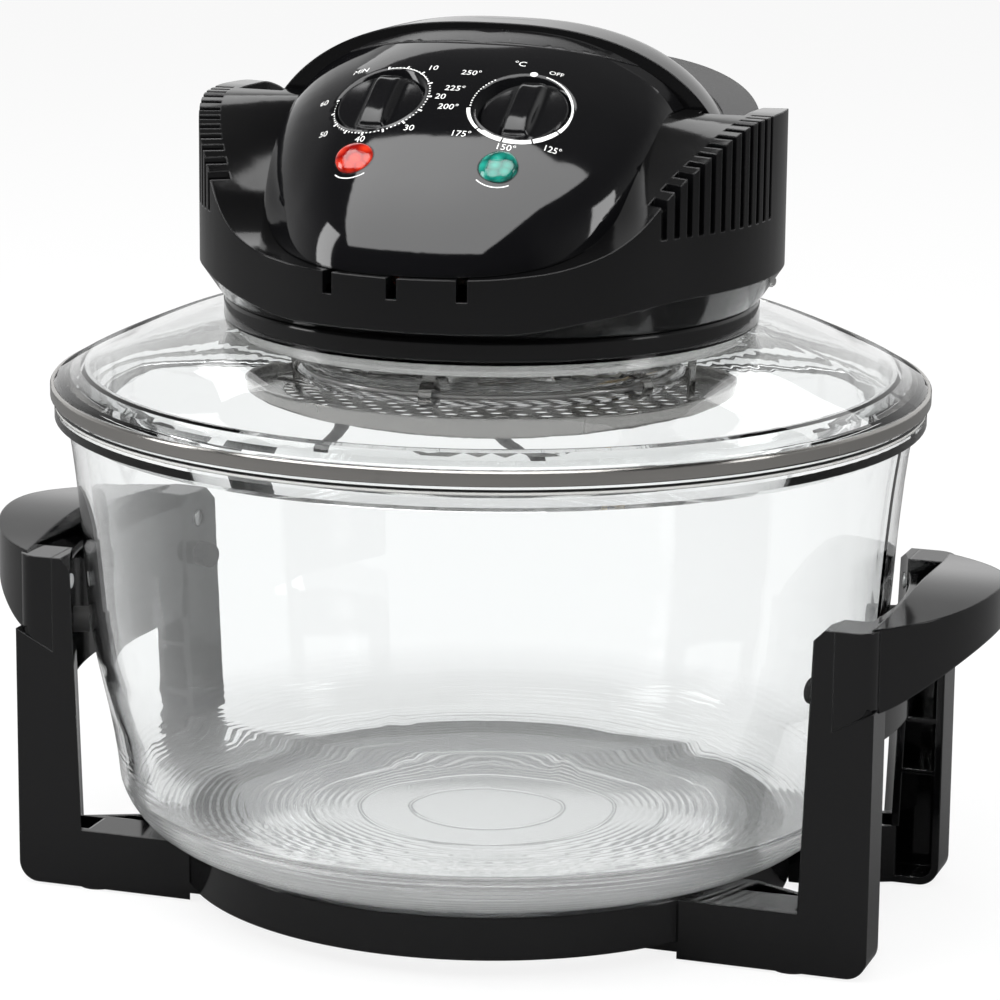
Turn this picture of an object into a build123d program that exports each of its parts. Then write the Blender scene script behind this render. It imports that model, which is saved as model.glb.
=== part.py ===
import math
import os

from build123d import *

os.makedirs("parts", exist_ok=True)

# A halogen oven: glass bowl in a two-sided stand, glass lid, and a control head clamped in the lid.
# Millimetres, +Z up, controls towards -Y, origin under the middle of the bowl on the table.
# Angles called "turn" are degrees about +Z from the front (-Y) towards +X.

# Heights of the main joints, from the table up.
pad_stand = 1.0
ring_bottom = 7.7
ring_top = 26.5
rim_z = 193.0
neck_z = 227.0
head_z = 235.0

# Bowl and lid, radii. The bowl's side is (set back from the rim, height) down its outside, and the
# lid's top is (radius, height) from its neck to its edge.
rim_r = 166.5
bowl_wall = 5.0
bowl_floor = 6.0
bowl_side = [(5, 186), (6.5, 176), (10.2, 137), (14.1, 98), (18.5, 78), (21.9, 60), (23.5, 47)]
neck_r = 102.0
neck_hole_r = 89.0
lid_edge = rim_r - 0.1
lid_land = 6.2
lid_top = [(102, 227), (120, 223.2), (140, 215.5), (158, 207.2), (165.4, 203)]
band_wall = 1.6
band_low_z = 196.3
band_high_z = 201.9

# Stand.
ring_r = 118.7
ring_bore = 102.0
leg_front = 67.5
leg_depth = 18.0
leg_out = 170.0
leg_corner = 8.0
leg_wall = 3.0
leg_top = 132.0
beam_top = 24.0
hug_r = 158.5
hug_draft = 0.03
band_in = 162.0
band_out = 165.0
band_low = 80.0
band_high = 127.0
bow_arc_r = 74.0
bow_arc_x = 127.0
bow_in = 171.0
bow_split = 154.5
bow_wall = 2.8

ring_screw = (93.5, -58.4)
pad_r = 8.0
pad_high = 2.5
pad_x = 140.0
bow_screw_z = 121.0
bumper_z = 106.0
bumper_r = 5.0
bumper_tip = 154.3
bumper_stem_r = 2.2
bumper_stem_end = 164.8

# Head.
skirt_r = 111.0
skirt_wall = 2.6
wing_wall = 5.4
groove_count = 12
groove_first = 52.4
groove_step = 3.05
groove_width = 2.7
groove_depth = 3.0
groove_low = 270.5
groove_reach = 8.0
helmet_half = 84.0
helmet_front = 109.0
helmet_rear = 60.0
helmet_low = 250.0
helmet_power = 2.7
panel_seam = 0.25
knob_turn = 56.0
knob_x = 27.8
knob_y = -48.8
knob_z = 313.0
well_r = 17.5
well_depth = 5.0
knob_r = 16.4
lens_x = 27.5
lens_y = -75.0
lens_z = 294.2
lens_turn = 49.0
lens_r = 7.0

# Carry handle, folded back.
pivot_y = 4.0
pivot_z = 285.0
carry_tilt = 17.5
carry_half = 98.5
carry_reach = 94.0
carry_band = 13.0
carry_thick = 11.0
carry_power = 2.4
hub_r = 7.5
hub_lobe = 7.2
slot_in = 82.8
slot_out = 100.2
slot_floor = 272.0
slot_front = -8.0
stop_near = 26.0
stop_far = 30.0
stop_gap = 0.4
pin_r = 3.0
pin_end = 105.0

notch_low = 250.2
notch_turn = 13.3
boss_turns = (64, 116)
boss_ring = 93.0
boss_r = 4.5
screw_hole = 1.5
base_thick = 1.5
plunger_r = 2.5
plunger_x = 92.3
plunger_top = 274.2

# Lead: strain relief at the head's rear, free cord, and the put-away hank on the lid's rear slope,
# a loop with round ends and a waist where its tie holds it. Its turns lie in one round bundle.
relief_z = 249.0
relief_neck_r = 5.0
relief_length = 30.0
cord_r = 3.0
hank_ring_r = 137.0
hank_turn = 204.0
hank_half_long = 54.0
hank_end_r = 18.5
hank_waist = 9.0
hank_bundle_r = 6.4
hank_rest = 0.25
plug_turn = 164.5

# Heater and guard under the lid.
plate_z = 221.3
tube_ring_r = 69.0
tube_r = 4.75
tube_z = 207.5
coil_r = 1.2
clip_turns = (200, 270, 340)
guard_r = 93.0
guard_low = 196.7
guard_high = 202.3
post_x = 80.0

collar_r = 84.0
clamp_ring = 86.3
clamp_turns = (20, 110, 200, 290)
lid_under = 222.4
dish_under = 225.0
bracket_top = 252.0
bulb_x = 57.0
bulb_z = 217.6
lamp_r = 3.5

# Turning and sliding fits.
run_fit = 0.06
slip = 0.15

# Shoulder height and skirt's lower edge by turn, and the helmet's middle line by y.
shoulder = [(0, 257.8), (15, 258.3), (28.5, 260.5), (36, 263.7), (42, 268), (48, 275.5), (53, 284.5),
            (59, 293), (66, 300), (73, 305.3), (80, 308), (90, 308.6)]
hem = [(0, 238.5), (20, 238.5), (37, 242.5), (48, 245.7), (58, 247.8), (73, 248.3), (90, 248.4)]
crown = [(-109, 252), (-105, 264), (-97, 277), (-72.8, 298), (-46.8, 316), (-15, 331), (14, 337.5),
         (35, 331), (50, 312), (57, 285), (60, 252)]


# Smooth value through a table of (position, value) pairs, without overshoot between them.
def along(table, place):
    last = len(table) - 2
    left = max([i for i in range(last + 1) if table[i][0] <= place], default=0)
    steps = [(b[1] - a[1]) / (b[0] - a[0]) for a, b in zip(table, table[1:])]
    slopes = [steps[0]]
    for before, after in zip(steps, steps[1:]):
        slopes.append(0 if before * after <= 0 else 2 * before * after / (before + after))
    slopes.append(steps[-1])
    span = table[left + 1][0] - table[left][0]
    t = min(max((place - table[left][0]) / span, 0), 1)
    ease = t * t * (3 - 2 * t)
    value = table[left][1] * (1 - ease) + table[left + 1][1] * ease
    return value + span * t * (1 - t) * (slopes[left] * (1 - t) - slopes[left + 1] * t)


# Point at a radius and turn.
def at(radius, turn, z=0.0):
    angle = math.radians(turn)
    return (radius * math.sin(angle), -radius * math.cos(angle), z)


# Upright cylinder from its foot.
def post(radius, low, high, x=0.0, y=0.0):
    return Pos(x, y, low) * Cylinder(radius, high - low, align=(Align.CENTER, Align.CENTER, Align.MIN))


# Box between two corners.
def block(low, high):
    size = [b - a for a, b in zip(low, high)]
    return Pos(*low) * Box(*size, align=(Align.MIN, Align.MIN, Align.MIN))


# Solid of revolution about +Z from (radius, height) corners.
def turned(*points):
    return revolve(Plane.XZ * Polygon(*points, align=None), Axis.Z)


# Tube-like ring between two radii and two heights.
def ring(outer, inner, low, high):
    return post(outer, low, high) - post(inner, low - 1, high + 1)


# One shape repeated at the given turns about +Z.
def around(shape, turns):
    return [Rot(0, 0, turn) * shape for turn in turns]


def mirrored(shape):
    return [shape, mirror(shape, Plane.YZ)]


def four_corners(shape):
    pair = mirrored(shape)
    return pair + [mirror(one, Plane.XZ) for one in pair]


# Cuts tools away one after another.
def carved(body, tools):
    for tool in tools:
        body = body - tool
    return body


def save(name, *shapes):
    solids = [solid for shape in shapes for solid in shape.solids()]
    whole = solids[0] if len(solids) == 1 else Compound(children=solids)
    export_step(whole, f"parts/{name}.step")
    print(name, len(solids))


# Everything above the shoulders (push up) or below the hem (push down) on the +X side. The surface
# is ruled along radii, its height a function of the turn, the front half mirrored to the rear.
def saddle(table, turn):
    side = abs(turn)
    return along(table, side if side <= 90 else 180 - side)


def saddle_side(table, near, far, push):
    rows = []
    for step in range(65):
        high = saddle(table, 3.0 * step - 6)
        ends = (near(high), mid(near(high), far(high)), far(high))
        rows.append([Vector(*at(radius, 3.0 * step - 6, z)) for radius, z in ends])
    sheet = Face.make_surface_from_array_of_points(rows, tol=0.02)
    return extrude(sheet, amount=abs(push), dir=(0, 0, math.copysign(1, push)))


def mid(a, b):
    return tuple((p + q) / 2 for p, q in zip(a, b))


def above_shoulder(lift):
    return saddle_side(shoulder, lambda z: (12, z + lift), lambda z: (130, z + lift), 120)


def below_hem(lift):
    # The underside slopes from the hem in to the neck's foot.
    slope_run = skirt_r - neck_r
    return saddle_side(hem, lambda z: (neck_r, head_z + lift),
                       lambda z: (130, head_z + lift + (z - head_z) * (130 - neck_r) / slope_run), -60)


# Dome and crown in one: upright sections shaped as |x/w|^n + |z/h|^n = 1, w and h changing along y.
def helmet(inset):
    half = helmet_half - inset
    sections = []
    for share in (-0.988, -0.96, -0.91, -0.83, -0.72, -0.58, -0.42, -0.25, -0.08,
                  0.12, 0.3, 0.5, 0.68, 0.82, 0.91, 0.96, 0.985):
        full_end = helmet_front if share < 0 else helmet_rear
        y = share * (full_end - inset)
        width = half * math.sqrt(1 - share * share)
        height = along(crown, share * full_end) - inset - helmet_low
        points = []
        for step in range(13):
            angle = math.pi * step / 12
            wide = math.copysign(abs(math.cos(angle)) ** (2 / helmet_power), math.cos(angle))
            points.append((width * wide, y, helmet_low + height * max(math.sin(angle), 0) ** (2 / helmet_power)))
        arch = Spline(*points)
        sections.append(make_face([arch, Line(arch @ 1, arch @ 0)]))
    return loft(sections)


# The glossy panel covers the front of the helmet; its rear border steps back beside the crown.
def panel_plan(grow):
    right = [(0, -2.5), (44, -3.5), (48, 2), (53, 17), (67, 16), (71.5, 4), (71.5, -130), (0, -130)]
    left = [(-x, y) for x, y in reversed(right[1:-1])]
    plan = Polygon(*right, *left, align=None)
    return offset(plan, grow) if grow else plan


def panel_region(grow):
    return Pos(0, 0, 240) * extrude(panel_plan(grow), 120, dir=(0, 0, 1))


def tilted(x, y, z, rise):
    slope = math.radians(rise)
    return Plane(origin=(x, y, z), x_dir=(1, 0, 0), z_dir=(0, -math.cos(slope), math.sin(slope)))


right_half = block((0, -150, 0), (150, 150, 400))


# The head's right half before it is hollowed: skirt, wing, and the crown behind the panel.
def half_block():
    skirt = carved(post(skirt_r, head_z, 325) & right_half, [above_shoulder(0), below_hem(0)])
    return skirt + ((helmet(0) & right_half) - panel_region(panel_seam))


# Its hollow: skirt, wing and helmet drawn in by their walls, open at the neck.
def half_hollow():
    room = post(skirt_r - skirt_wall, head_z, 268) + post(skirt_r - wing_wall, 266, 325)
    room = carved(room & right_half, [above_shoulder(-wing_wall), below_hem(skirt_wall)])
    room = room + (helmet(skirt_wall) & right_half)
    room = room + (post(neck_r - skirt_wall, head_z - 5, head_z + 16) & right_half)
    slot_walls = extrude(offset(slot_plan(), skirt_wall, kind=Kind.INTERSECTION), 200, dir=(0, 0, 1))
    slot_walls = slot_walls + block((slot_out, slot_front - skirt_wall, 0), (skirt_r, 140, 200))
    slot_walls = Pos(0, 0, slot_floor - skirt_wall) * slot_walls
    bosses = [Pos(*at(boss_ring, turn)) * post(boss_r, head_z + base_thick, 330) for turn in boss_turns]
    return carved(room, [slot_walls] + bosses)


# The slot's inner side draws in with the arm towards the rear.
def slot_plan():
    return Polygon((slot_in, slot_front), (slot_in, 8), (slot_in - 4.2, 30), (slot_in - 9, 45), (slot_in - 24, 60),
                   (slot_in - 24, 140), (slot_out, 140), (slot_out, slot_front), align=None)


# Channel in the wing where an arm of the carry handle lies, with a stop rib across its floor.
def carry_slot():
    channel = Pos(0, 0, slot_floor) * extrude(slot_plan(), 70, dir=(0, 0, 1))
    slope = math.radians(carry_tilt)
    under = pivot_z - carry_thick / 2 / math.cos(slope) - stop_gap
    rise = [(y, under + (y - pivot_y) * math.tan(slope)) for y in (stop_near, stop_far)]
    rib = Polygon((stop_near, slot_floor - 5), (stop_far, slot_floor - 5), rise[1], rise[0], align=None)
    return channel - Pos(slot_in - 8, 0, 0) * extrude(Plane.YZ * rib, slot_out - slot_in + 9, dir=(1, 0, 0))


def groove(turn):
    top = saddle(shoulder, turn)
    side = block((-groove_width / 2, -skirt_r - 4, groove_low), (groove_width / 2, -skirt_r + groove_depth, top + 9))
    over = block((-groove_width / 2, -skirt_r - 4, top - groove_depth),
                 (groove_width / 2, -skirt_r + groove_reach, top + 9))
    return Rot(0, 0, turn) * (side + over)


def head_housing():
    half = carved(half_block(), [half_hollow(), carry_slot()])
    half = carved(half, [groove(groove_first + groove_step * count) for count in range(groove_count)])
    notch = block((-2, -skirt_r - 1, notch_low), (2, -skirt_r + 8, notch_low + 20))
    half = carved(half, around(notch, (0, notch_turn)))
    pin_hole = Pos(0, pivot_y, pivot_z) * Rot(0, 90, 0) * Cylinder(pin_r, 2 * pin_end)
    plunger_hole = post(plunger_r + run_fit, slot_floor - 4, slot_floor + 2, plunger_x, pivot_y)
    relief_hole = Pos(0, skirt_r - 4, relief_z) * Rot(90, 0, 0) * Cylinder(relief_neck_r, 14)
    screws = [Pos(*at(boss_ring, turn)) * post(screw_hole, head_z - 1, head_z + 14) for turn in boss_turns]
    half = carved(half, [pin_hole, plunger_hole, relief_hole] + screws)
    return half + mirror(half, Plane.YZ)


# Knob wells and lens holes are square to the panel's slope at their middles.
def knob_seat(side):
    return tilted(side * knob_x, knob_y, knob_z, knob_turn)


def lens_seat(side):
    return tilted(side * lens_x, lens_y, lens_z, lens_turn)


floor_under = -well_depth - skirt_wall
bushing_r = 6.0
stem_r = 4.0


# Cylinder along a seat's normal, between two depths.
def plug(seat, radius, low, high):
    return seat * post(radius, low, high)


def control_panel():
    skin = (helmet(0) - helmet(skirt_wall)) & right_half
    cup = plug(knob_seat(1), well_r + skirt_wall, floor_under, 6) & helmet(0)
    under = (post(129, 200, 325) & block((-5, -150, 0), (150, 150, 400))) - above_shoulder(panel_seam)
    half = ((skin + cup) & panel_region(0)) - under
    half = half - plug(knob_seat(1), well_r, -well_depth, 20)
    half = half - plug(knob_seat(1), bushing_r + run_fit, floor_under - 3, 0)
    half = half - plug(lens_seat(1), lens_r + run_fit, -12, 8)
    return half + mirror(half, Plane.YZ)


# Flat outline with one corner rounded.
def rounded(outline, corner, radius):
    nearest = min(outline.vertices(), key=lambda v: math.hypot(v.X - corner[0], v.Y - corner[1]))
    return fillet([nearest], radius)


def knob(side):
    seat = knob_seat(side)
    low = -well_depth + 0.4
    disc = chamfer(post(knob_r, low, -0.6).edges().sort_by(Axis.Z)[-1], 0.8)
    bar = Pos(0, 0, -1) * extrude(SlotOverall(2 * knob_r - 1.5, 9.5), 10.5, taper=5)
    line = block((-0.6, 5, 8.9), (0.6, knob_r, 12))
    stem = post(stem_r, -16, low + 0.1) - block((stem_r - 1, -5, -17), (stem_r + 1, 5, -9))
    return seat * (disc + Rot(0, 0, 90) * bar - line + stem)


def lens(side):
    cup = post(lens_r, -8, 0.2) + post(lens_r + 1.4, -8, -7)
    dome = Pos(0, 0, 0.2) * scale(Sphere(lens_r) & block((-9, -9, 0), (9, 9, 9)), (1, 1, 0.28))
    return lens_seat(side) * (cup + dome - post(lamp_r + run_fit, -9, -2.5))


def pilot_lamp(side):
    return lens_seat(side) * (post(lamp_r, -18, -2.7) + post(lamp_r + 0.8, -22, -14))


def timer_body():
    bore = post(stem_r + run_fit, -17, 0)
    shell = post(17, -30, -9) + post(10, -9.5, floor_under) + post(bushing_r, floor_under - 1, -well_depth - 0.2)
    feet = block((-21, -4, -12), (21, 4, -9.8))
    return knob_seat(-1) * (shell + feet - bore)


def timer_bell():
    cup = post(14, -38, -32) - post(13, -39, -33)
    return knob_seat(-1) * (cup + post(2.5, -33.5, -30))


def thermostat_body():
    bore = post(stem_r + run_fit, -17, 0)
    can = block((-15, -15, -28), (15, 15, -10)) + post(10, -11, floor_under)
    tabs = block((-19, -3, -20), (19, 3, -18.8))
    return knob_seat(1) * (can + tabs + post(bushing_r, floor_under - 1, -well_depth - 0.2) - bore)


def thermostat_bulb():
    back = knob_seat(1) * Pos(0, 0, -28)
    start = back.position
    path = FilletPolyline(tuple(start), (start.X, start.Y + 6, start.Z - 9), (bulb_x, -33, 262),
                          (bulb_x, -33, bulb_z), (bulb_x, -20, bulb_z), radius=5)
    line = sweep(Plane(origin=path @ 0, z_dir=path % 0) * Circle(1.2), path)
    bulb = Pos(bulb_x, 0, bulb_z) * Rot(90, 0, 0) * Cylinder(3, 42)
    return line + bulb


def carry_handle():
    slope = math.radians(carry_tilt)
    arm_plane = Plane(origin=(0, pivot_y, pivot_z), x_dir=(1, 0, 0), z_dir=(0, -math.sin(slope), math.cos(slope)))

    def bow(half, reach):
        points = []
        for step in range(15):
            angle = math.pi * step / 14
            wide = math.copysign(abs(math.cos(angle)) ** (2 / carry_power), math.cos(angle))
            points.append((half * wide, reach * max(math.sin(angle), 0) ** (2 / carry_power)))
        arch = Spline(*points)
        return make_face([arch, Line(arch @ 1, arch @ 0)])

    flat = bow(carry_half, carry_reach) - bow(carry_half - carry_band, carry_reach - carry_band - 1)
    grip = Pos(0, 0, -carry_thick / 2) * extrude(flat, carry_thick, dir=(0, 0, 1))
    grip = arm_plane * grip
    hub = Rot(0, 90, 0) * Cylinder(hub_r, carry_band, align=(Align.CENTER, Align.CENTER, Align.MIN))
    lobe = Pos(0, 0, -hub_lobe) * Rot(0, 90, 0) * Cylinder(3, carry_band,
                                                          align=(Align.CENTER, Align.CENTER, Align.MIN))
    hubs = Pos(carry_half - carry_band, pivot_y, pivot_z) * (hub + lobe)
    bore = Pos(0, pivot_y, pivot_z) * Rot(0, 90, 0) * Cylinder(pin_r + run_fit, 2 * carry_half + 4)
    return grip + mirrored(hubs) - bore


def handle_pins():
    length = pin_end - slot_in + skirt_wall
    pin = Rot(0, 90, 0) * Cylinder(pin_r, length, align=(Align.CENTER, Align.CENTER, Align.MIN))
    return mirrored(Pos(pin_end - length, pivot_y, pivot_z) * pin)


def safety_switch():
    body = block((86.5, -5.5, head_z + base_thick), (98, 13.5, 262))
    return body - post(plunger_r + run_fit, 247, 263, plunger_x, pivot_y)


def terminal_block():
    body = block((-52, 60, head_z + base_thick), (-12, 76, 250))
    wells = [post(2.5, 244, 251, x, y) for x in (-46, -36, -26, -16) for y in (64, 72)]
    return carved(body, wells)


def fan_motor():
    body = post(26, bracket_top, 284) + post(9, 283, 288)
    core = Pos(0, 0, 258) * Box(56, 30, 12, align=(Align.CENTER, Align.CENTER, Align.MIN))
    return body + core - post(pin_r + run_fit, 250, 290)


def motor_bracket():
    low = head_z + base_thick
    plate = post(30, bracket_top - 1.2, bracket_top) + block((-55.2, -8, bracket_top - 1.2), (55.2, 8, bracket_top))
    leg = block((54, -8, low), (55.2, 8, bracket_top)) + block((54, -8, low), (66, 8, low + 1.2))
    return plate + mirrored(leg) - post(8, 240, 260)


def base_plate():
    plate = post(neck_r - skirt_wall - 0.2, head_z, head_z + base_thick) - post(8, head_z - 1, head_z + 3)
    slot = extrude(Pos(70, 0, 0) * SlotOverall(22, 5), 10)
    plate = carved(plate, [Pos(0, 0, head_z - 4) * one for one in around(slot, range(22, 360, 45))])
    screws = [Pos(*at(boss_ring, turn)) * post(screw_hole, head_z - 1, head_z + 3)
              for turn in corner_turns(boss_turns)]
    return carved(plate, screws + [post(4, head_z - 1, head_z + 3, bulb_x, -33)])


def corner_turns(turns):
    return [sign * turn for turn in turns for sign in (-1, 1)]


def lid_flange():
    body = turned((collar_r, lid_under), (neck_hole_r - 0.4, lid_under), (neck_hole_r - 0.4, neck_z),
                  (neck_r, neck_z), (neck_r, head_z - 1.5), (neck_r - 1, head_z), (collar_r, head_z))
    for turn in corner_turns(boss_turns):
        spot = Pos(*at(boss_ring, turn))
        body = carved(body, [spot * post(screw_hole, neck_z - 1, head_z + 1), spot * post(3.2, neck_z - 1, neck_z + 3.5)])
    return carved(body, [Pos(*at(clamp_ring, turn)) * post(screw_hole, lid_under - 1, lid_under + 8)
                         for turn in clamp_turns])


def screw(head_r, head_high, shaft_high):
    return post(head_r, 0, head_high) + post(screw_hole, head_high - 0.5, head_high + shaft_high)


def housing_screws():
    one = Pos(0, 0, neck_z + 0.6) * screw(3.0, 2.9, head_z + 12 - neck_z - 3.5)
    return [Pos(*at(boss_ring, turn)) * one for turn in corner_turns(boss_turns)]


def clamp_screws():
    one = Pos(0, 0, plate_z - 2) * screw(2.8, 2, 8)
    return [Pos(*at(clamp_ring, turn)) * one for turn in clamp_turns]


def reflector():
    dish = turned((14, 226.2), (82.2, 226.2), (83.9, lid_under), (97, lid_under), (97, 219.3), (96, 219.3),
                  (96, plate_z), (83.2, plate_z), (81.5, dish_under), (14, dish_under))
    holes = around(post(3.5, 220, 228, 38, 0), range(0, 360, 30))
    holes = holes + [post(4, 220, 228, bulb_x, -33)]
    holes = holes + [Pos(*at(clamp_ring, turn)) * post(screw_hole, 220, 224) for turn in clamp_turns]
    return carved(dish, holes)


def arc_rod(radius):
    return Rot(0, 0, 110) * revolve(Plane.XZ * Pos(tube_ring_r, tube_z) * Circle(radius), Axis.Z, 320)


def solid_tube():
    return arc_rod(tube_r)


def halogen_tube():
    return solid_tube() - arc_rod(tube_r - 1.1)


def heating_coil():
    return arc_rod(coil_r)


def tube_end_caps():
    cap = block((tube_ring_r - 7, -4, tube_z - 7), (tube_ring_r + 7, 10, tube_z + 7))
    cap = cap + block((tube_ring_r - 4, 1, tube_z + 6), (tube_ring_r + 4, 9, dish_under))
    return mirrored(Rot(0, 0, 70) * cap - solid_tube())


def tube_clips():
    loop = Pos(tube_ring_r, 0, tube_z) * Rot(90, 0, 0) * Cylinder(tube_r + 1.2, 5)
    stem = block((tube_ring_r - 1, -2.5, tube_z), (tube_ring_r + 1, 2.5, dish_under))
    return [Rot(0, 0, turn) * (loop + stem) - solid_tube() for turn in clip_turns]


def guard_posts():
    strip = block((post_x - 1.5, -3.5, guard_low + 1), (post_x - 0.3, 3.5, dish_under))
    foot = block((post_x - 1.5, -3.5, guard_low + 1), (post_x + 6, 3.5, guard_low + 2.2))
    head = block((post_x - 8, -3.5, dish_under - 1.2), (post_x - 0.3, 3.5, dish_under))
    return mirrored(strip + foot + head)


def guard_tray():
    pan = turned((0, guard_low), (guard_r, guard_low), (guard_r, guard_high), (guard_r - 1, guard_high),
                 (guard_r - 1, guard_low + 1), (0, guard_low + 1))
    holes = [post(3.0, guard_low - 1, guard_low + 2)]
    for row in range(1, 5):
        holes += around(post(3.0, guard_low - 1, guard_low + 2, 18.0 * row, 0), range(0, 360, 60 // row))
    return carved(pan, holes)


def blades(count, inner, outer, low, high, pitch):
    middle = (inner + outer) / 2
    plate = Pos(middle, 0, (low + high) / 2) * Rot(pitch, 0, 0) * Box(outer - inner, 1.2, high - low)
    return around(plate, [360 * step / count for step in range(count)])


def convection_fan():
    fan = post(7, 210, 222) + post(22, 216, 217.2)
    for blade in blades(8, 6, 50, 210, 218, 25):
        fan = fan + blade
    return fan - post(pin_r, 200, 230)


def cooling_fan():
    fan = post(10, 239, 249)
    for blade in blades(9, 8, 48, 238.5, 248, 40):
        fan = fan + blade
    return fan - post(pin_r, 230, 260)


def glass_lid():
    rows = [(neck_r, neck_z)] + [(radius * rim_r / 166.5, z) for radius, z in lid_top[1:]]
    over = Spline(*rows)
    inner = lid_edge - lid_land
    under = Spline((inner - 1.4, 202.2), (139, 211), (119, 218.7), (101, lid_under))
    side = Polyline(over @ 1, (lid_edge, 202), (lid_edge, 194.2), (inner, 194.2), (inner, 199.5), (inner - 1.4, 202.2))
    top = Polyline((101, lid_under), (neck_hole_r, lid_under), (neck_hole_r, neck_z), (neck_r, neck_z))
    shell = revolve(Plane.XZ * make_face([over, *side.edges(), under, *top.edges()]), Axis.Z)
    return shell + ring(inner - 5.4, inner - 8.8, 189, 204.6)


def lid_rim_band():
    out = lid_edge + band_wall
    return turned((lid_edge, band_low_z), (out - 0.5, band_low_z), (out, band_low_z + 0.7), (out, band_high_z - 0.7),
                  (out - 0.5, band_high_z), (lid_edge, band_high_z))


def glass_bowl():
    outside = Spline(*[(rim_r - back, z) for back, z in bowl_side])
    inside = Spline(*[(rim_r - back - bowl_wall, z) for back, z in reversed(bowl_side)])
    heel = ThreePointArc(outside @ 1, (134.6, 33.6), (116, ring_top))
    floor_in = ring_top + bowl_floor
    toe = ThreePointArc((114, floor_in), (130.4, 38), inside @ 0)
    bottom = Polyline((116, ring_top), (ring_bore - 2, ring_top), (ring_bore - 4, ring_top + 1.2), (0, ring_top + 1.2),
                      (0, floor_in), (114, floor_in))
    lip = Polyline(inside @ 1, (rim_r - 7, rim_z), (rim_r, rim_z), (rim_r, 188.8), outside @ 0)
    face = make_face([outside, heel, *bottom.edges(), toe, inside, *lip.edges()])
    bowl = revolve(Plane.XZ * face, Axis.Z)
    for ridge_r in (30, 50, 70, 90):
        bowl = bowl + Pos(0, 0, ring_top + 1.2) * Torus(ridge_r, 0.9)
    return bowl


# Stand.
def base_ring():
    body = turned((ring_bore, ring_bottom), (ring_r, ring_bottom), (ring_r, ring_top - 2.5), (ring_r - 2, ring_top),
                  (ring_bore, ring_top))
    channel = ring(ring_r - leg_wall, ring_bore + leg_wall, ring_bottom - 1, ring_top - leg_wall)
    ribs = [Rot(0, 0, turn) * block((ring_bore, -1, ring_bottom), (ring_r, 1, ring_top)) for turn in range(0, 360, 45)]
    bosses = four_corners(post(4.5, ring_bottom, ring_top, *ring_screw))
    body = body - carved(channel, ribs + bosses)
    return carved(body, four_corners(post(screw_hole, ring_bottom - 1, ring_bottom + 12, *ring_screw)))


# Cylinder about the bowl's axis that the legs hug, narrowing downwards.
def hug(grow):
    high = 150.0
    return turned((0, beam_top), (hug_r + grow, beam_top), (hug_r + grow + hug_draft * (high - beam_top), high), (0, high))


def leg_outline():
    outline = Polygon((84, pad_stand), (leg_out, pad_stand), (leg_out, split_z(leg_out)), (bow_split, split_z(bow_split)),
                      (bow_split, leg_top), (151, leg_top), (141, 122), (141, beam_top), (84, beam_top), align=None)
    return rounded(rounded(outline, (leg_out, pad_stand), leg_corner), (141, beam_top), 6)


# The seam between leg and bow handle rises outwards.
def split_z(x):
    return 94.7 + (x - bow_split) * 0.514


def front_right_leg():
    depth = leg_depth - leg_wall
    leg = Pos(0, -leg_front, 0) * extrude(Plane.XZ * leg_outline(), leg_depth, dir=(0, 1, 0))
    plan = Polygon((80, -leg_front), (leg_out, -leg_front), (leg_out, -leg_front + leg_depth),
                   (80, -leg_front + leg_depth), align=None)
    leg = leg & extrude(rounded(plan, (leg_out, -leg_front), leg_corner), 200, dir=(0, 0, 1))
    inner = Plane.XZ * offset(leg_outline(), -leg_wall)
    room = Pos(0, -leg_front + leg_wall, 0) * extrude(inner, depth + 1, dir=(0, 1, 0))
    room = room - block((100, -80, 88), (200, 0, 200)) - hug(leg_wall) - post(ring_r + leg_wall, 0, 40)
    room = carved(room, [block((100, -80, z), (200, 0, z + 2)) for z in (46, 67)])
    room = room & extrude(offset(rounded(plan, (leg_out, -leg_front), leg_corner), -leg_wall + 0.01), 200,
                          dir=(0, 0, 1)) + (room & block((80, -leg_front + leg_depth - 4, 0), (leg_out - leg_wall, 0, 90)))
    leg = leg - hug(0) - room
    tongue = post(9, 3.7, ring_bottom, *ring_screw) + block((ring_screw[0], ring_screw[1] - 9, 3.7),
                                                            (120, ring_screw[1] + 9, ring_bottom))
    web = Polygon((104, -50), (153, -50), (120, -35), (108, -35), align=None)
    recess = Polygon((116, -47.5), (143, -47.5), (120.5, -38), align=None)
    web = Pos(0, 0, pad_stand) * extrude(web, beam_top - pad_stand, dir=(0, 0, 1))
    web = web - Pos(0, 0, 6) * extrude(recess, 30, dir=(0, 0, 1))
    leg = (leg + web) - post(ring_r + slip, ring_bottom, 60) - post(ring_r + slip, 0, 3.7)
    leg = leg - (post(ring_r + slip, 0, 60) - post(ring_r + 20, 3.6, ring_bottom + 0.1)) + tongue
    seat = post(pad_r + slip, 0, pad_high, pad_x, -leg_front + leg_depth / 2)
    return carved(leg, [seat, post(screw_hole, 0, 20, *ring_screw), bow_screw_room(), bumper_room()])


def side_frame():
    half = front_right_leg()
    band = ring(band_out, band_in, band_low, band_high) & block((140, -leg_front + leg_depth, 0), (200, 0.001, 200))
    tie = ring(band_out, band_in, band_low, 90) & block((140, -60, 0), (200, 0, 200))
    half = half + tie + band
    return half + mirror(half, Plane.XZ)


# Axis of a bow handle's screw, driven outwards from the leg's inner face.
def along_x(radius, low, high, z):
    rod = Rot(0, 90, 0) * Cylinder(radius, high - low, align=(Align.CENTER, Align.CENTER, Align.MIN))
    return Pos(low, -leg_front + leg_depth / 2, z) * rod


def bow_screw_room():
    return along_x(screw_hole, 140, 170, bow_screw_z) + along_x(3.3, 140, 152.8, bow_screw_z)


def bow_screw():
    return along_x(3.0, 150.6, 152.8, bow_screw_z) + along_x(screw_hole, 152.5, 166, bow_screw_z)


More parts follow.
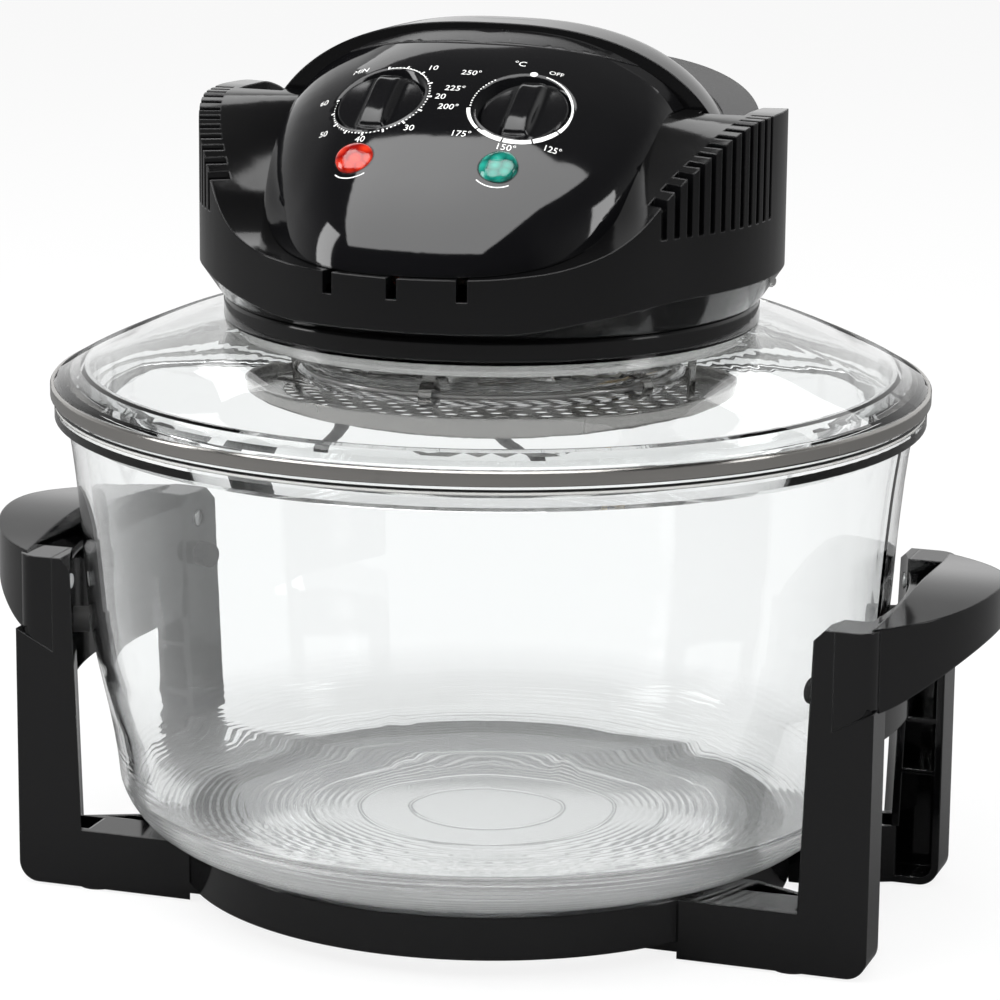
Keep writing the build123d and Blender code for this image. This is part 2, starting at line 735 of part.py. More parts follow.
# Rubber stud between leg and bowl, on a stem pressed into the leg.
def stud_rod(radius, near, far):
    turn = math.degrees(math.atan2(150.2, leg_front - leg_depth / 2))
    return Rot(0, 0, turn) * Pos(0, 0, bumper_z) * Rot(90, 0, 0) * post(radius, near, far)


def bumper():
    seat = hug_r + hug_draft * (bumper_z - bumper_r - beam_top) - 0.1
    return stud_rod(bumper_r, bumper_tip, seat) + stud_rod(bumper_stem_r, seat - 1, bumper_stem_end)


def bumper_room():
    return stud_rod(bumper_stem_r, 150, bumper_stem_end)


def bow_handle():
    def d_shape(inset, low, high):
        outer = post(bow_arc_r - inset, low, high, bow_arc_x, 0)
        inner_r = 500.0
        return outer - post(inner_r + inset, low - 1, high + 1, bow_in - inner_r, 0)

    def side_view(inset):
        lower = Spline((-74, 97 - inset), (-62, 100 - inset), (-48, 108 - inset), (0, 120.7 - inset),
                       (48, 108 - inset), (62, 100 - inset), (74, 97 - inset))
        upper = Spline((74, leg_top - inset), (50, 133.4 - inset), (0, 137 - inset), (-50, 133.4 - inset),
                       (-74, leg_top - inset))
        face = make_face([lower, Line(lower @ 1, upper @ 0), upper, Line(upper @ 1, lower @ 0)])
        return Pos(140, 0, 0) * extrude(Plane.YZ * face, 80, dir=(1, 0, 0))

    grip = d_shape(0, 90, 140) & side_view(0)
    grip = grip - (d_shape(bow_wall, 80, 140) & side_view(bow_wall) & block((0, -46, 0), (220, 46, 200)))
    plan = Polygon((bow_split, -leg_front), (leg_out, -leg_front), (leg_out, -leg_front + leg_depth),
                   (bow_split, -leg_front + leg_depth), align=None)
    cap = extrude(rounded(plan, (leg_out, -leg_front), leg_corner), leg_top, dir=(0, 0, 1))
    wedge = post(bow_arc_r, 80, leg_top, bow_arc_x, 0) & block((bow_split, -leg_front, 0),
                                                              (210, -leg_front + leg_depth, 200)) & side_view(0)
    above = Polygon((bow_split, split_z(bow_split)), (leg_out, split_z(leg_out)), (leg_out + 40, split_z(leg_out)),
                    (leg_out + 40, 200), (bow_split, 200), align=None)
    above = Pos(0, -80, 0) * extrude(Plane.XZ * above, 160, dir=(0, 1, 0))
    cap = (cap + wedge) & above
    caps = [cap, mirror(cap, Plane.XZ)]
    bow = grip
    for one in caps:
        bow = bow + one
    below = Pos(0, -80, 0) * extrude(Plane.XZ * leg_outline(), 160, dir=(0, 1, 0))
    bow = bow - (below & block((0, -80, 0), (leg_out, 80, split_z(leg_out))))
    holes = along_x(screw_hole, 150, 166, bow_screw_z)
    return carved(bow, [holes, mirror(holes, Plane.XZ)])


# Point on the lid's rear slope, by radius and turn, raised squarely off the glass.
def on_lid(radius, turn, lift):
    slope = math.atan2(along(lid_top, radius - 2) - along(lid_top, radius + 2), 4)
    return at(radius + lift * math.sin(slope), turn, along(lid_top, radius) + lift * math.cos(slope))


# Points of the free cord, from inside the strain relief to where it joins the hank.
cord_points = [(0, 121, relief_z), (0, 158, relief_z), (-17, 186, 226), (-34, 186, 186), (-50, 173, 146),
               (-74, 155.5, 122), (-104, 139, 127), (-118, 130, 158), (-122, 129, 190), (-114, 131, 220),
               (-86, 132, 232), (-58, 135, 220)]


# Every bend takes most of the shorter straight run beside it.
def cord_path():
    points = [Vector(*p) for p in cord_points]
    radii = []
    for before, here, after in zip(points, points[1:], points[2:]):
        half_turn = math.radians((here - before).get_angle(after - here)) / 2
        radii.append(0.45 * min((here - before).length, (after - here).length) / math.tan(half_turn))
    print("cord radii", [round(radius, 1) for radius in radii])
    return FilletPolyline(*points, radius=radii)


def mains_cord():
    path = cord_path()
    cord = sweep(Plane(origin=path @ 0, z_dir=path % 0) * Circle(cord_r), path)
    print("cord length", round(path.length), "by volume", round(cord.volume / (math.pi * cord_r ** 2)))
    return cord


def cord_strain_relief():
    tip = skirt_r + relief_length
    neck = Rot(-90, 0, 0) * post(relief_neck_r, skirt_r - 5, skirt_r + 1)
    flange = Rot(-90, 0, 0) * post(8, skirt_r + 0.2, skirt_r + 3)
    cone = Rot(-90, 0, 0) * Pos(0, 0, skirt_r + 2) * Cone(7, 4.3, tip - skirt_r - 2, align=(Align.CENTER, Align.CENTER, Align.MIN))
    body = neck + flange + cone
    for step in range(4):
        place = skirt_r + 8 + 5 * step
        cut = Rot(-90, 0, 0) * (post(9, place, place + 1.6) - post(cord_r + 1.1, place - 1, place + 3))
        body = body - cut
    return Pos(0, 0, relief_z) * (body - Rot(-90, 0, 0) * post(cord_r, skirt_r - 6, tip + 1))


# Half of the hank, laid at the front of the lid: a side easing out from the waist, a half circle, and back.
def hank_half():
    straight = hank_half_long - hank_end_r
    side = []
    for step in range(4):
        ease = step / 3.5
        side.append((straight * ease, hank_waist + (hank_end_r - hank_waist) * ease * ease * (3 - 2 * ease)))
    end = [(straight + hank_end_r * math.cos(angle), hank_end_r * math.sin(angle))
           for angle in (math.pi / 2, math.pi / 4, 0, -math.pi / 4, -math.pi / 2)]
    back = [(place, -wide) for place, wide in reversed(side)]
    rows = [on_lid(hank_ring_r + wide, math.degrees(place / hank_ring_r), hank_bundle_r + hank_rest)
            for place, wide in side + end + back]
    line = Spline(*rows, tangents=[Vector(1, 0, 0), Vector(-1, 0, 0)])
    rings = [Plane(origin=line @ share, x_dir=(line % share).cross(Vector(0, 0, 1)), z_dir=line % share)
             * Circle(hank_bundle_r) for share in (step / 14 for step in range(15))]
    return loft(rings)


def cord_hank():
    half = hank_half()
    return [Rot(0, 0, hank_turn) * half, Rot(0, 0, hank_turn) * mirror(half, Plane.YZ)]


def mains_plug():
    x, y, z = on_lid(hank_ring_r, plug_turn, hank_rest)
    foot = Vector(*on_lid(hank_ring_r, plug_turn, 0))
    along_rim = Vector(y, -x, 0).normalized()
    seat = Plane(origin=(x, y, z), x_dir=along_rim, z_dir=Vector(x, y, z) - foot)
    outline = RectangleRounded(36, 26, 8)
    body = Pos(6, 0, 0) * extrude(outline, 18)
    body = body - block((-3, 12.2, 2), (1, 14, 16)) - block((-3, -14, 2), (1, -12.2, 16))
    neck = Pos(-35, 0, 9) * Rot(0, 90, 0) * Cone(4.4, 6.5, 24, align=(Align.CENTER, Align.CENTER, Align.MIN))
    pins = [Pos(23, side * 9.5, 9) * Rot(0, 90, 0) * Cylinder(2.4, 20, align=(Align.CENTER, Align.CENTER, Align.MIN))
            for side in (-1, 1)]
    return seat * (body + neck + pins[0] + pins[1])


save("base_ring", base_ring())
frame = side_frame()
save("side_frame_right", frame)
save("side_frame_left", mirror(frame, Plane.YZ))
bow = bow_handle()
save("bow_handle_right", bow)
save("bow_handle_left", mirror(bow, Plane.YZ))
save("bowl_bumpers", *four_corners(bumper()))
save("foot_pads", *four_corners(post(pad_r, 0, pad_high, pad_x, -leg_front + leg_depth / 2)))
save("frame_screws", *four_corners(Pos(*ring_screw, 1.8) * screw(3, 1.9, 12)))
save("bow_handle_screws", *four_corners(bow_screw()))
save("glass_bowl", glass_bowl())
save("glass_lid", glass_lid())
save("lid_rim_band", lid_rim_band())
save("lid_gasket", ring(166.2, 160.2, rim_z, 194.2))
save("lid_flange", lid_flange())
save("base_plate", base_plate())
save("head_housing", head_housing())
save("control_panel", control_panel())
save("power_lens", lens(-1))
save("heat_lens", lens(1))
save("pilot_lamps", pilot_lamp(-1), pilot_lamp(1))
save("timer_body", timer_body())
save("timer_bell", timer_bell())
save("thermostat_body", thermostat_body())
save("thermostat_bulb", thermostat_bulb())
save("timer_knob", knob(-1))
save("thermostat_knob", knob(1))
save("carry_handle", carry_handle())
save("handle_pins", *handle_pins())
save("safety_switch", safety_switch())
save("switch_plunger", post(plunger_r, 250, plunger_top, plunger_x, pivot_y))
save("terminal_block", terminal_block())
save("fan_motor", fan_motor())
save("motor_bracket", motor_bracket())
save("motor_shaft", post(pin_r, 206, 289.5))
save("cooling_fan", cooling_fan())
save("convection_fan", convection_fan())
save("reflector", reflector())
save("halogen_tube", halogen_tube())
save("heating_coil", heating_coil())
save("tube_end_caps", *tube_end_caps())
save("tube_clips", *tube_clips())
save("guard_posts", *guard_posts())
save("guard_tray", guard_tray())
save("housing_screws", *housing_screws())
save("clamp_screws", *clamp_screws())
save("cord_strain_relief", cord_strain_relief())
save("mains_cord", mains_cord())
save("cord_hank", *cord_hank())
save("mains_plug", mains_plug())
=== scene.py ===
import math

import bmesh
import bpy
import numpy as np
from mathutils import Matrix, Vector


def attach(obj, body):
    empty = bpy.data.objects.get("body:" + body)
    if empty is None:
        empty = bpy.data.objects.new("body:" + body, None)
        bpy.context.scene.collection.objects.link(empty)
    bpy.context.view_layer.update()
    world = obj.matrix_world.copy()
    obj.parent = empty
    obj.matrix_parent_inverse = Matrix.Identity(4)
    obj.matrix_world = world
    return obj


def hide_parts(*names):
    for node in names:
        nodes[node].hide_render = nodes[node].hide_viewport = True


# halogen oven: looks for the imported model, in metres, controls towards -Y

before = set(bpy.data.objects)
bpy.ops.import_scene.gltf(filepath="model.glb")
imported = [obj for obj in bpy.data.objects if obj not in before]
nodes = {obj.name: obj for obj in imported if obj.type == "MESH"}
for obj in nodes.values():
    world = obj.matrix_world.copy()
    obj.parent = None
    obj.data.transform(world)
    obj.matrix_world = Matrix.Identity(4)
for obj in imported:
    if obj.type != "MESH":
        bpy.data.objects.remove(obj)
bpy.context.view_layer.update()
scene = bpy.context.scene
scene.view_settings.view_transform = "Standard"
print("frame in:", len(nodes), "nodes")

# camera
shot = {
    "azimuth": 18.89,    # degrees round from the front towards +X
    "distance": 1.545,   # from the bowl's axis, along the floor
    "height": 0.5107,
    "pitch": 13.03,      # degrees down
    "roll": 0.56,
    "lens": 148.05,
    "aside": 10.23,      # the axis stands this many thousandths of the frame left of its middle
}


def linked(name, data):
    made = bpy.data.objects.new(name, data)
    scene.collection.objects.link(made)
    return made


def setCamera(s):
    turn = math.radians(s["azimuth"])
    place = np.array([s["distance"] * math.sin(turn), -s["distance"] * math.cos(turn), s["height"]])
    level = np.array([-math.sin(turn), math.cos(turn), 0.0])
    right = np.array([math.cos(turn), math.sin(turn), 0.0])
    yaw = -math.atan(s["aside"] / 1000 * 36 / s["lens"])
    ahead = level * math.cos(yaw) - right * math.sin(yaw)
    right = right * math.cos(yaw) + level * math.sin(yaw)
    down = math.radians(s["pitch"])
    look = ahead * math.cos(down) + np.array([0, 0, -1.0]) * math.sin(down)
    up = ahead * math.sin(down) + np.array([0, 0, 1.0]) * math.cos(down)
    tilt = math.radians(s["roll"])
    side = right * math.cos(tilt) + up * math.sin(tilt)
    top = -right * math.sin(tilt) + up * math.cos(tilt)
    camera = linked("camera", bpy.data.cameras.new("camera"))
    camera.data.lens = s["lens"]
    camera.data.sensor_width = 36
    camera.data.clip_start = 0.05
    axes = np.stack([side, top, -look], axis=1)
    camera.matrix_world = Matrix([list(axes[i]) + [place[i]] for i in range(3)] + [[0, 0, 0, 1]])
    scene.camera = camera


setCamera(shot)
print("camera set")


def soften(mesh, sharp, smooth=True):
    mesh.polygons.foreach_set("use_smooth", [smooth] * len(mesh.polygons))
    if smooth:
        mesh.set_sharp_from_angle(angle=math.radians(sharp))


# a mesh piece from points and faces: doubles merged, faces turned outwards, soft shading with hard edges past an angle
def addPiece(name, points, faces, body, finish, smooth=True, sharp=35):
    mesh = bpy.data.meshes.new(name)
    mesh.from_pydata(np.asarray(points, float).reshape(-1, 3).tolist(), [], [list(map(int, f)) for f in faces])
    mesh.update()
    bm = bmesh.new()
    bm.from_mesh(mesh)
    bmesh.ops.remove_doubles(bm, verts=bm.verts, dist=1e-6)
    bmesh.ops.recalc_face_normals(bm, faces=bm.faces)
    bm.to_mesh(mesh)
    bm.free()
    soften(mesh, sharp, smooth)
    mesh.materials.append(finishes[finish])
    piece = linked(name, mesh)
    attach(piece, body)
    return piece


# quads between the points of a rows x columns grid
def gridFaces(rows, columns, closedRows=False, closedColumns=False):
    r = np.arange(rows if closedRows else rows - 1)
    c = np.arange(columns if closedColumns else columns - 1)
    a, b = np.meshgrid(r, c, indexing="ij")
    a2, b2 = (a + 1) % rows, (b + 1) % columns
    return np.stack([a * columns + b, a2 * columns + b, a2 * columns + b2, a * columns + b2], axis=-1).reshape(-1, 4)


# surface of turning: point = (r cos t, r sin t, z) over a profile (r, z) and a full turn t
def lathe(profile, steps, closed=False):
    profile = np.asarray(profile, float)
    t = np.linspace(0, 2 * np.pi, steps, endpoint=False)
    r, z = profile[:, 0][:, None], profile[:, 1][:, None]
    points = np.stack([r * np.cos(t), r * np.sin(t), z + 0 * t], axis=-1)
    return points.reshape(-1, 3), gridFaces(len(profile), steps, closed, True)


# 0 to 1 with a level start and end
def eased(t):
    return t * t * (3 - 2 * t)


# superellipse's cosine or sine: the value to a power, its sign kept
def squared(value, power):
    return np.sign(value) * np.abs(value) ** power


# smooth value through a table of (place, value), never past its neighbours: cubic with harmonic-mean slopes
def along(table, place):
    table = np.asarray(table, float)
    x, y = table[:, 0], table[:, 1]
    step = np.diff(y) / np.diff(x)
    slope = np.empty(len(x))
    slope[0], slope[-1] = step[0], step[-1]
    pair = step[:-1] * step[1:]
    slope[1:-1] = np.where(pair > 0, 2 * pair / np.where(pair > 0, step[:-1] + step[1:], 1), 0)
    place = np.clip(np.asarray(place, float), x[0], x[-1])
    i = np.clip(np.searchsorted(x, place, side="right") - 1, 0, len(x) - 2)
    span = x[i + 1] - x[i]
    t = (place - x[i]) / span
    ease = eased(t)
    bend = slope[i] * (1 - t) - slope[i + 1] * t
    return y[i] * (1 - ease) + y[i + 1] * ease + span * t * (1 - t) * bend


def newGroup(name, inputs, outputs):
    group = bpy.data.node_groups.new(name, "ShaderNodeTree")
    for title, kind, value in inputs:
        socket = group.interface.new_socket(title, in_out="INPUT", socket_type=kind)
        if value is not None:
            socket.default_value = value
    for title, kind in outputs:
        group.interface.new_socket(title, in_out="OUTPUT", socket_type=kind)
    return group, group.nodes.new("NodeGroupInput"), group.nodes.new("NodeGroupOutput")


# a socket takes another node's output, or a plain number or colour
def feed(tree, socket, source):
    if isinstance(source, bpy.types.NodeSocket):
        tree.links.new(source, socket)
    elif socket.type == "RGBA":
        socket.default_value = (*source[:3], 1)
    else:
        socket.default_value = source


def put(tree, kind, links=(), **values):
    node = tree.nodes.new(kind)
    for key, value in values.items():
        setattr(node, key, value)
    for socket, source in links:
        feed(tree, node.inputs[socket], source)
    return node


def maths(tree, operation, *values, **options):
    return put(tree, "ShaderNodeMath", enumerate(values), operation=operation, **options).outputs[0]


def ranged(tree, value, start, end, low=0.0, high=1.0):
    return put(tree, "ShaderNodeMapRange", enumerate((value, start, end, low, high))).outputs[0]


def blendOf(tree, share, low, high):
    return ranged(tree, share, 0.0, 1.0, low, high)


def tint(tree, share, low, high):
    return put(tree, "ShaderNodeMix", [(0, share), (6, low), (7, high)], data_type="RGBA").outputs[2]


def bumped(tree, height, strength, distance, normal=None):
    links = [("Height", height), ("Strength", strength), ("Distance", distance)]
    return put(tree, "ShaderNodeBump", links + ([("Normal", normal)] if normal else [])).outputs[0]


# distance from the upright axis through the origin
def fromAxis(tree, split):
    flat = put(tree, "ShaderNodeCombineXYZ", [(0, split.outputs[0]), (1, split.outputs[1])]).outputs[0]
    return put(tree, "ShaderNodeVectorMath", [(0, flat)], operation="LENGTH").outputs["Value"]


# grain: two sizes of noise on the piece's own coordinates, and a height from the finer one
def makeGrain():
    sizes = [("Size", "NodeSocketFloat", 200.0), ("Stretch", "NodeSocketVector", (1, 1, 1))]
    group, inside, out = newGroup("grain", sizes, [("Patches", "NodeSocketFloat"), ("Fine", "NodeSocketFloat")])
    at = put(group, "ShaderNodeTexCoord").outputs["Object"]
    scaled = put(group, "ShaderNodeVectorMath", [(0, at), (1, inside.outputs["Stretch"])], operation="MULTIPLY").outputs[0]
    broad = put(group, "ShaderNodeTexNoise", [("Vector", scaled), ("Scale", 14.0), ("Detail", 4.0), ("Roughness", 0.6)])
    fine = put(group, "ShaderNodeTexNoise", [("Vector", scaled), ("Scale", inside.outputs["Size"]), ("Detail", 3.0)])
    group.links.new(broad.outputs[0], out.inputs["Patches"])
    group.links.new(fine.outputs[0], out.inputs["Fine"])
    return group


# hairlines: thin long streaks of noise in two directions, kept only where they peak
def makeHairlines():
    group, inside, out = newGroup("hairlines", [("Amount", "NodeSocketFloat", 0.5)], [("Mask", "NodeSocketFloat")])
    at = put(group, "ShaderNodeTexCoord").outputs["Object"]
    found = []
    for turn, stretch in (((0.3, 0.2, 0.9), (900, 40, 40)), ((1.1, -0.6, 0.2), (40, 1100, 60))):
        place = put(group, "ShaderNodeMapping", [("Vector", at), ("Rotation", turn), ("Scale", stretch)]).outputs[0]
        noise = put(group, "ShaderNodeTexNoise", [("Vector", place), ("Scale", 1.0), ("Detail", 2.0)]).outputs[0]
        found.append(ranged(group, noise, 0.66, 0.74))
    both = maths(group, "MAXIMUM", found[0], found[1])
    patch = put(group, "ShaderNodeTexNoise", [("Vector", at), ("Scale", 25.0)]).outputs[0]
    where = ranged(group, patch, 0.45, 0.65)
    kept = maths(group, "MULTIPLY", both, where)
    scaled = maths(group, "MULTIPLY", kept, inside.outputs["Amount"])
    group.links.new(scaled, out.inputs["Mask"])
    return group


# edges: how far a rounded normal leans from the true one, and the rounded normal itself
def makeEdges():
    group, _, out = newGroup("edges", [], [("Mask", "NodeSocketFloat"), ("Normal", "NodeSocketVector")])
    soft = put(group, "ShaderNodeBevel", [("Radius", 0.0009)], samples=4).outputs[0]
    true = put(group, "ShaderNodeNewGeometry").outputs["Normal"]
    lean = put(group, "ShaderNodeVectorMath", [(0, soft), (1, true)], operation="DOT_PRODUCT").outputs["Value"]
    mask = ranged(group, lean, 0.995, 0.8)
    group.links.new(mask, out.inputs["Mask"])
    group.links.new(soft, out.inputs["Normal"])
    return group


# dust: specks and a film that gather where a face looks up
def makeDust():
    group, inside, out = newGroup("dust", [("Amount", "NodeSocketFloat", 0.3)], [("Mask", "NodeSocketFloat")])
    at = put(group, "ShaderNodeTexCoord").outputs["Object"]
    normal = put(group, "ShaderNodeNewGeometry").outputs["Normal"]
    upright = put(group, "ShaderNodeSeparateXYZ", [(0, normal)]).outputs[2]
    facing = ranged(group, upright, 0.2, 1.0)
    specks = put(group, "ShaderNodeTexVoronoi", [("Vector", at), ("Scale", 420.0)]).outputs["Distance"]
    near = ranged(group, specks, 0.13, 0.05)
    rare = put(group, "ShaderNodeTexNoise", [("Vector", at), ("Scale", 160.0)]).outputs[0]
    some = ranged(group, rare, 0.56, 0.62)
    dots = maths(group, "MULTIPLY", near, some)
    film = put(group, "ShaderNodeTexNoise", [("Vector", at), ("Scale", 9.0), ("Detail", 5.0)]).outputs[0]
    haze = ranged(group, film, 0.4, 0.8, 0.0, 0.25)
    both = maths(group, "MAXIMUM", dots, haze)
    lying = maths(group, "MULTIPLY", both, facing)
    scaled = maths(group, "MULTIPLY", lying, inside.outputs["Amount"])
    group.links.new(scaled, out.inputs["Mask"])
    return group


# rings: sine of (distance from the axis + height) / pitch, kept low down and away from the middle; zone marks the bottom
def makeRings():
    sizes = [("Pitch", "NodeSocketFloat", 0.0030), ("Top", "NodeSocketFloat", 0.06)]
    group, inside, out = newGroup("rings", sizes, [("Height", "NodeSocketFloat"), ("Zone", "NodeSocketFloat")])
    at = put(group, "ShaderNodeTexCoord").outputs["Object"]
    split = put(group, "ShaderNodeSeparateXYZ", [(0, at)])
    far = fromAxis(group, split)
    place = maths(group, "ADD", far, split.outputs[2])
    turns = maths(group, "DIVIDE", place, inside.outputs["Pitch"])
    angle = maths(group, "MULTIPLY", turns, 2 * math.pi)
    wave = maths(group, "SINE", angle)
    low = ranged(group, split.outputs[2], inside.outputs["Top"], 0.03)
    outer = ranged(group, far, 0.045, 0.095)
    zone = maths(group, "MULTIPLY", low, outer)
    kept = maths(group, "MULTIPLY", wave, zone)
    group.links.new(kept, out.inputs["Height"])
    group.links.new(low, out.inputs["Zone"])
    return group


groups = {"grain": makeGrain(), "hairlines": makeHairlines(), "edges": makeEdges(), "dust": makeDust(),
          "rings": makeRings()}


def use(tree, name, **values):
    node = tree.nodes.new("ShaderNodeGroup")
    node.node_tree = groups[name]
    for key, value in values.items():
        node.inputs[key].default_value = value
    return node


def newMaterial(name):
    material = bpy.data.materials.new(name)
    material.use_nodes = True
    tree = material.node_tree
    tree.nodes.clear()
    shader = tree.nodes.new("ShaderNodeBsdfPrincipled")
    out = tree.nodes.new("ShaderNodeOutputMaterial")
    tree.links.new(shader.outputs[0], out.inputs["Surface"])
    return material, tree, shader


def joinUp(tree, shader, **sockets):
    for key, value in sockets.items():
        feed(tree, shader.inputs[key.replace("_", " ")], value)


# plastic, rubber and ceramic: a colour that pales on its edges and under dust, gloss that varies in patches
def mouldedFinish(name, color, worn, rough, bump, size, hair=0.3, dust=0.25, edge=0.35, specular=0.5):
    material, tree, shader = newMaterial(name)
    grain = use(tree, "grain", Size=size)
    lines = use(tree, "hairlines", Amount=hair)
    edges = use(tree, "edges")
    soil = use(tree, "dust", Amount=dust)
    shade = tint(tree, blendOf(tree, grain.outputs["Patches"], 0.0, 0.5), color, worn)
    rubbed = maths(tree, "MULTIPLY", edges.outputs["Mask"], edge)
    shade = tint(tree, rubbed, shade, tuple(min(1, 3 * c + 0.01) for c in worn))
    shade = tint(tree, soil.outputs["Mask"], shade, (0.35, 0.34, 0.32))
    gloss = blendOf(tree, grain.outputs["Patches"], rough[0], rough[1])
    marks = maths(tree, "MULTIPLY", lines.outputs["Mask"], 0.22)
    gloss = maths(tree, "ADD", gloss, marks)
    gloss = maths(tree, "ADD", gloss, soil.outputs["Mask"], use_clamp=True)
    relief = bumped(tree, grain.outputs["Fine"], bump, 0.0002, edges.outputs["Normal"])
    joinUp(tree, shader, Base_Color=shade, Roughness=gloss, Normal=relief, Specular_IOR_Level=specular)
    return material


# metal: a colour that varies a little, brushed round the axis or grained, and scratched
def metalFinish(name, color, rough, brushed=0.0, size=900.0, hair=0.5, dull=(0.5, 0.5, 0.5)):
    material, tree, shader = newMaterial(name)
    grain = use(tree, "grain", Size=size)
    lines = use(tree, "hairlines", Amount=hair)
    edges = use(tree, "edges")
    at = put(tree, "ShaderNodeTexCoord").outputs["Object"]
    split = put(tree, "ShaderNodeSeparateXYZ", [(0, at)])
    turned = put(tree, "ShaderNodeCombineXYZ", [(0, fromAxis(tree, split)), (1, split.outputs[2])]).outputs[0]
    strokes = put(tree, "ShaderNodeTexNoise", [("Vector", turned), ("Scale", 3500.0), ("Detail", 3.0)]).outputs[0]
    shade = tint(tree, blendOf(tree, grain.outputs["Patches"], 0.0, 0.45), color, dull)
    gloss = blendOf(tree, grain.outputs["Patches"], rough[0], rough[1])
    gloss = maths(tree, "ADD", gloss, lines.outputs["Mask"], use_clamp=True)
    brush = bumped(tree, strokes, brushed, 0.0001, edges.outputs["Normal"])
    relief = bumped(tree, grain.outputs["Fine"], 0.12, 0.0001, brush)
    joinUp(tree, shader, Base_Color=shade, Roughness=gloss, Metallic=1.0, Normal=relief)
    return material


# glass: clear, with smears and slow waves; rings are pressed in its bottom, which is also milkier
def glassFinish(name, color, rough=0.004, waves=0.03, rings=0.0, ior=1.47):
    material, tree, shader = newMaterial(name)
    grain = use(tree, "grain", Size=60.0)
    lines = use(tree, "hairlines", Amount=0.04)
    smear = ranged(tree, grain.outputs["Patches"], 0.52, 0.75, rough, rough + 0.02)
    gloss = maths(tree, "ADD", smear, lines.outputs["Mask"])
    wavy = bumped(tree, grain.outputs["Patches"], waves, 0.001)
    clear = 1.0
    if rings:
        pressed = use(tree, "rings")
        wavy = bumped(tree, pressed.outputs[0], rings, 0.0004, wavy)
        gloss = maths(tree, "MULTIPLY_ADD", pressed.outputs["Zone"], 0.11, gloss)
        clear = blendOf(tree, pressed.outputs["Zone"], 1.0, 0.80)
    joinUp(tree, shader, Base_Color=color, Roughness=gloss, Normal=wavy, Metallic=0.0, IOR=ior, Transmission_Weight=clear)
    return material


finishes = {
    "headBlack": mouldedFinish("head_black", (0.0018, 0.0018, 0.002), (0.0035, 0.0035, 0.0038),
                               (0.06, 0.13), 0.035, 600.0, hair=0.2, dust=0.05, edge=0.2, specular=0.42),
    "standBlack": mouldedFinish("stand_black", (0.0018, 0.0018, 0.002), (0.0035, 0.0035, 0.0038),
                                (0.05, 0.12), 0.03, 400.0, hair=0.2, dust=0.05, edge=0.2),
    "handleBlack": mouldedFinish("handle_black", (0.005, 0.005, 0.0055), (0.009, 0.009, 0.0095),
                                 (0.20, 0.30), 0.10, 800.0, dust=0.12, edge=0.25),
    "panelBlack": mouldedFinish("panel_black", (0.003, 0.003, 0.0035), (0.0045, 0.0045, 0.005),
                                (0.03, 0.075), 0.012, 300.0, hair=0.12, dust=0.05, edge=0.15),
    "capBlack": mouldedFinish("cap_black", (0.006, 0.006, 0.0065), (0.010, 0.010, 0.0105),
                              (0.20, 0.28), 0.03, 500.0, hair=0.15, dust=0.08, edge=0.3),
    "knobBlack": mouldedFinish("knob_black", (0.003, 0.003, 0.0035), (0.005, 0.005, 0.0055),
                               (0.06, 0.12), 0.02, 500.0, hair=0.2, dust=0.05, edge=0.15),
    "rubber": mouldedFinish("rubber", (0.016, 0.016, 0.016), (0.035, 0.034, 0.033),
                            (0.5, 0.7), 0.35, 1500.0, dust=0.5),
    "cordBlack": mouldedFinish("cord_black", (0.011, 0.011, 0.011), (0.022, 0.022, 0.022),
                               (0.33, 0.48), 0.22, 1400.0, dust=0.4),
    "silicone": mouldedFinish("silicone", (0.55, 0.56, 0.55), (0.62, 0.60, 0.56),
                              (0.4, 0.55), 0.2, 900.0, dust=0.1, edge=0.0),
    "ceramic": mouldedFinish("ceramic", (0.78, 0.76, 0.71), (0.66, 0.62, 0.55),
                             (0.45, 0.65), 0.4, 1100.0, dust=0.1, edge=0.1),
    "nylon": mouldedFinish("nylon", (0.72, 0.71, 0.68), (0.62, 0.60, 0.56),
                           (0.32, 0.45), 0.2, 900.0, dust=0.1, edge=0.1),
    "band": metalFinish("band", (0.50, 0.485, 0.465), (0.07, 0.15), brushed=0.25, hair=0.25, dull=(0.34, 0.33, 0.31)),
    "bright": metalFinish("bright", (0.80, 0.80, 0.79), (0.10, 0.22), brushed=0.1, hair=0.2, dull=(0.66, 0.65, 0.63)),
    "guard": metalFinish("guard", (0.34, 0.335, 0.325), (0.12, 0.22), brushed=0.2, hair=0.3, dull=(0.22, 0.215, 0.21)),
    "zinc": metalFinish("zinc", (0.50, 0.50, 0.50), (0.28, 0.42), size=1500.0, dull=(0.38, 0.38, 0.39)),
    "iron": metalFinish("iron", (0.20, 0.20, 0.21), (0.4, 0.6), size=1200.0, dull=(0.13, 0.12, 0.12)),
    "brass": metalFinish("brass", (0.74, 0.55, 0.26), (0.22, 0.36), brushed=0.1, dull=(0.55, 0.38, 0.17)),
    "coil": metalFinish("coil", (0.42, 0.41, 0.40), (0.3, 0.45), size=1800.0, dull=(0.28, 0.26, 0.25)),
    "bowlGlass": glassFinish("bowl_glass", (0.965, 0.975, 0.975), rings=0.22),
    "lidGlass": glassFinish("lid_glass", (0.972, 0.982, 0.980)),
    "quartz": glassFinish("quartz", (0.99, 0.99, 0.99), rough=0.02, waves=0.2, ior=1.46),
    "lampGlass": glassFinish("lamp_glass", (0.99, 0.85, 0.7), rough=0.05, waves=0.3),
}


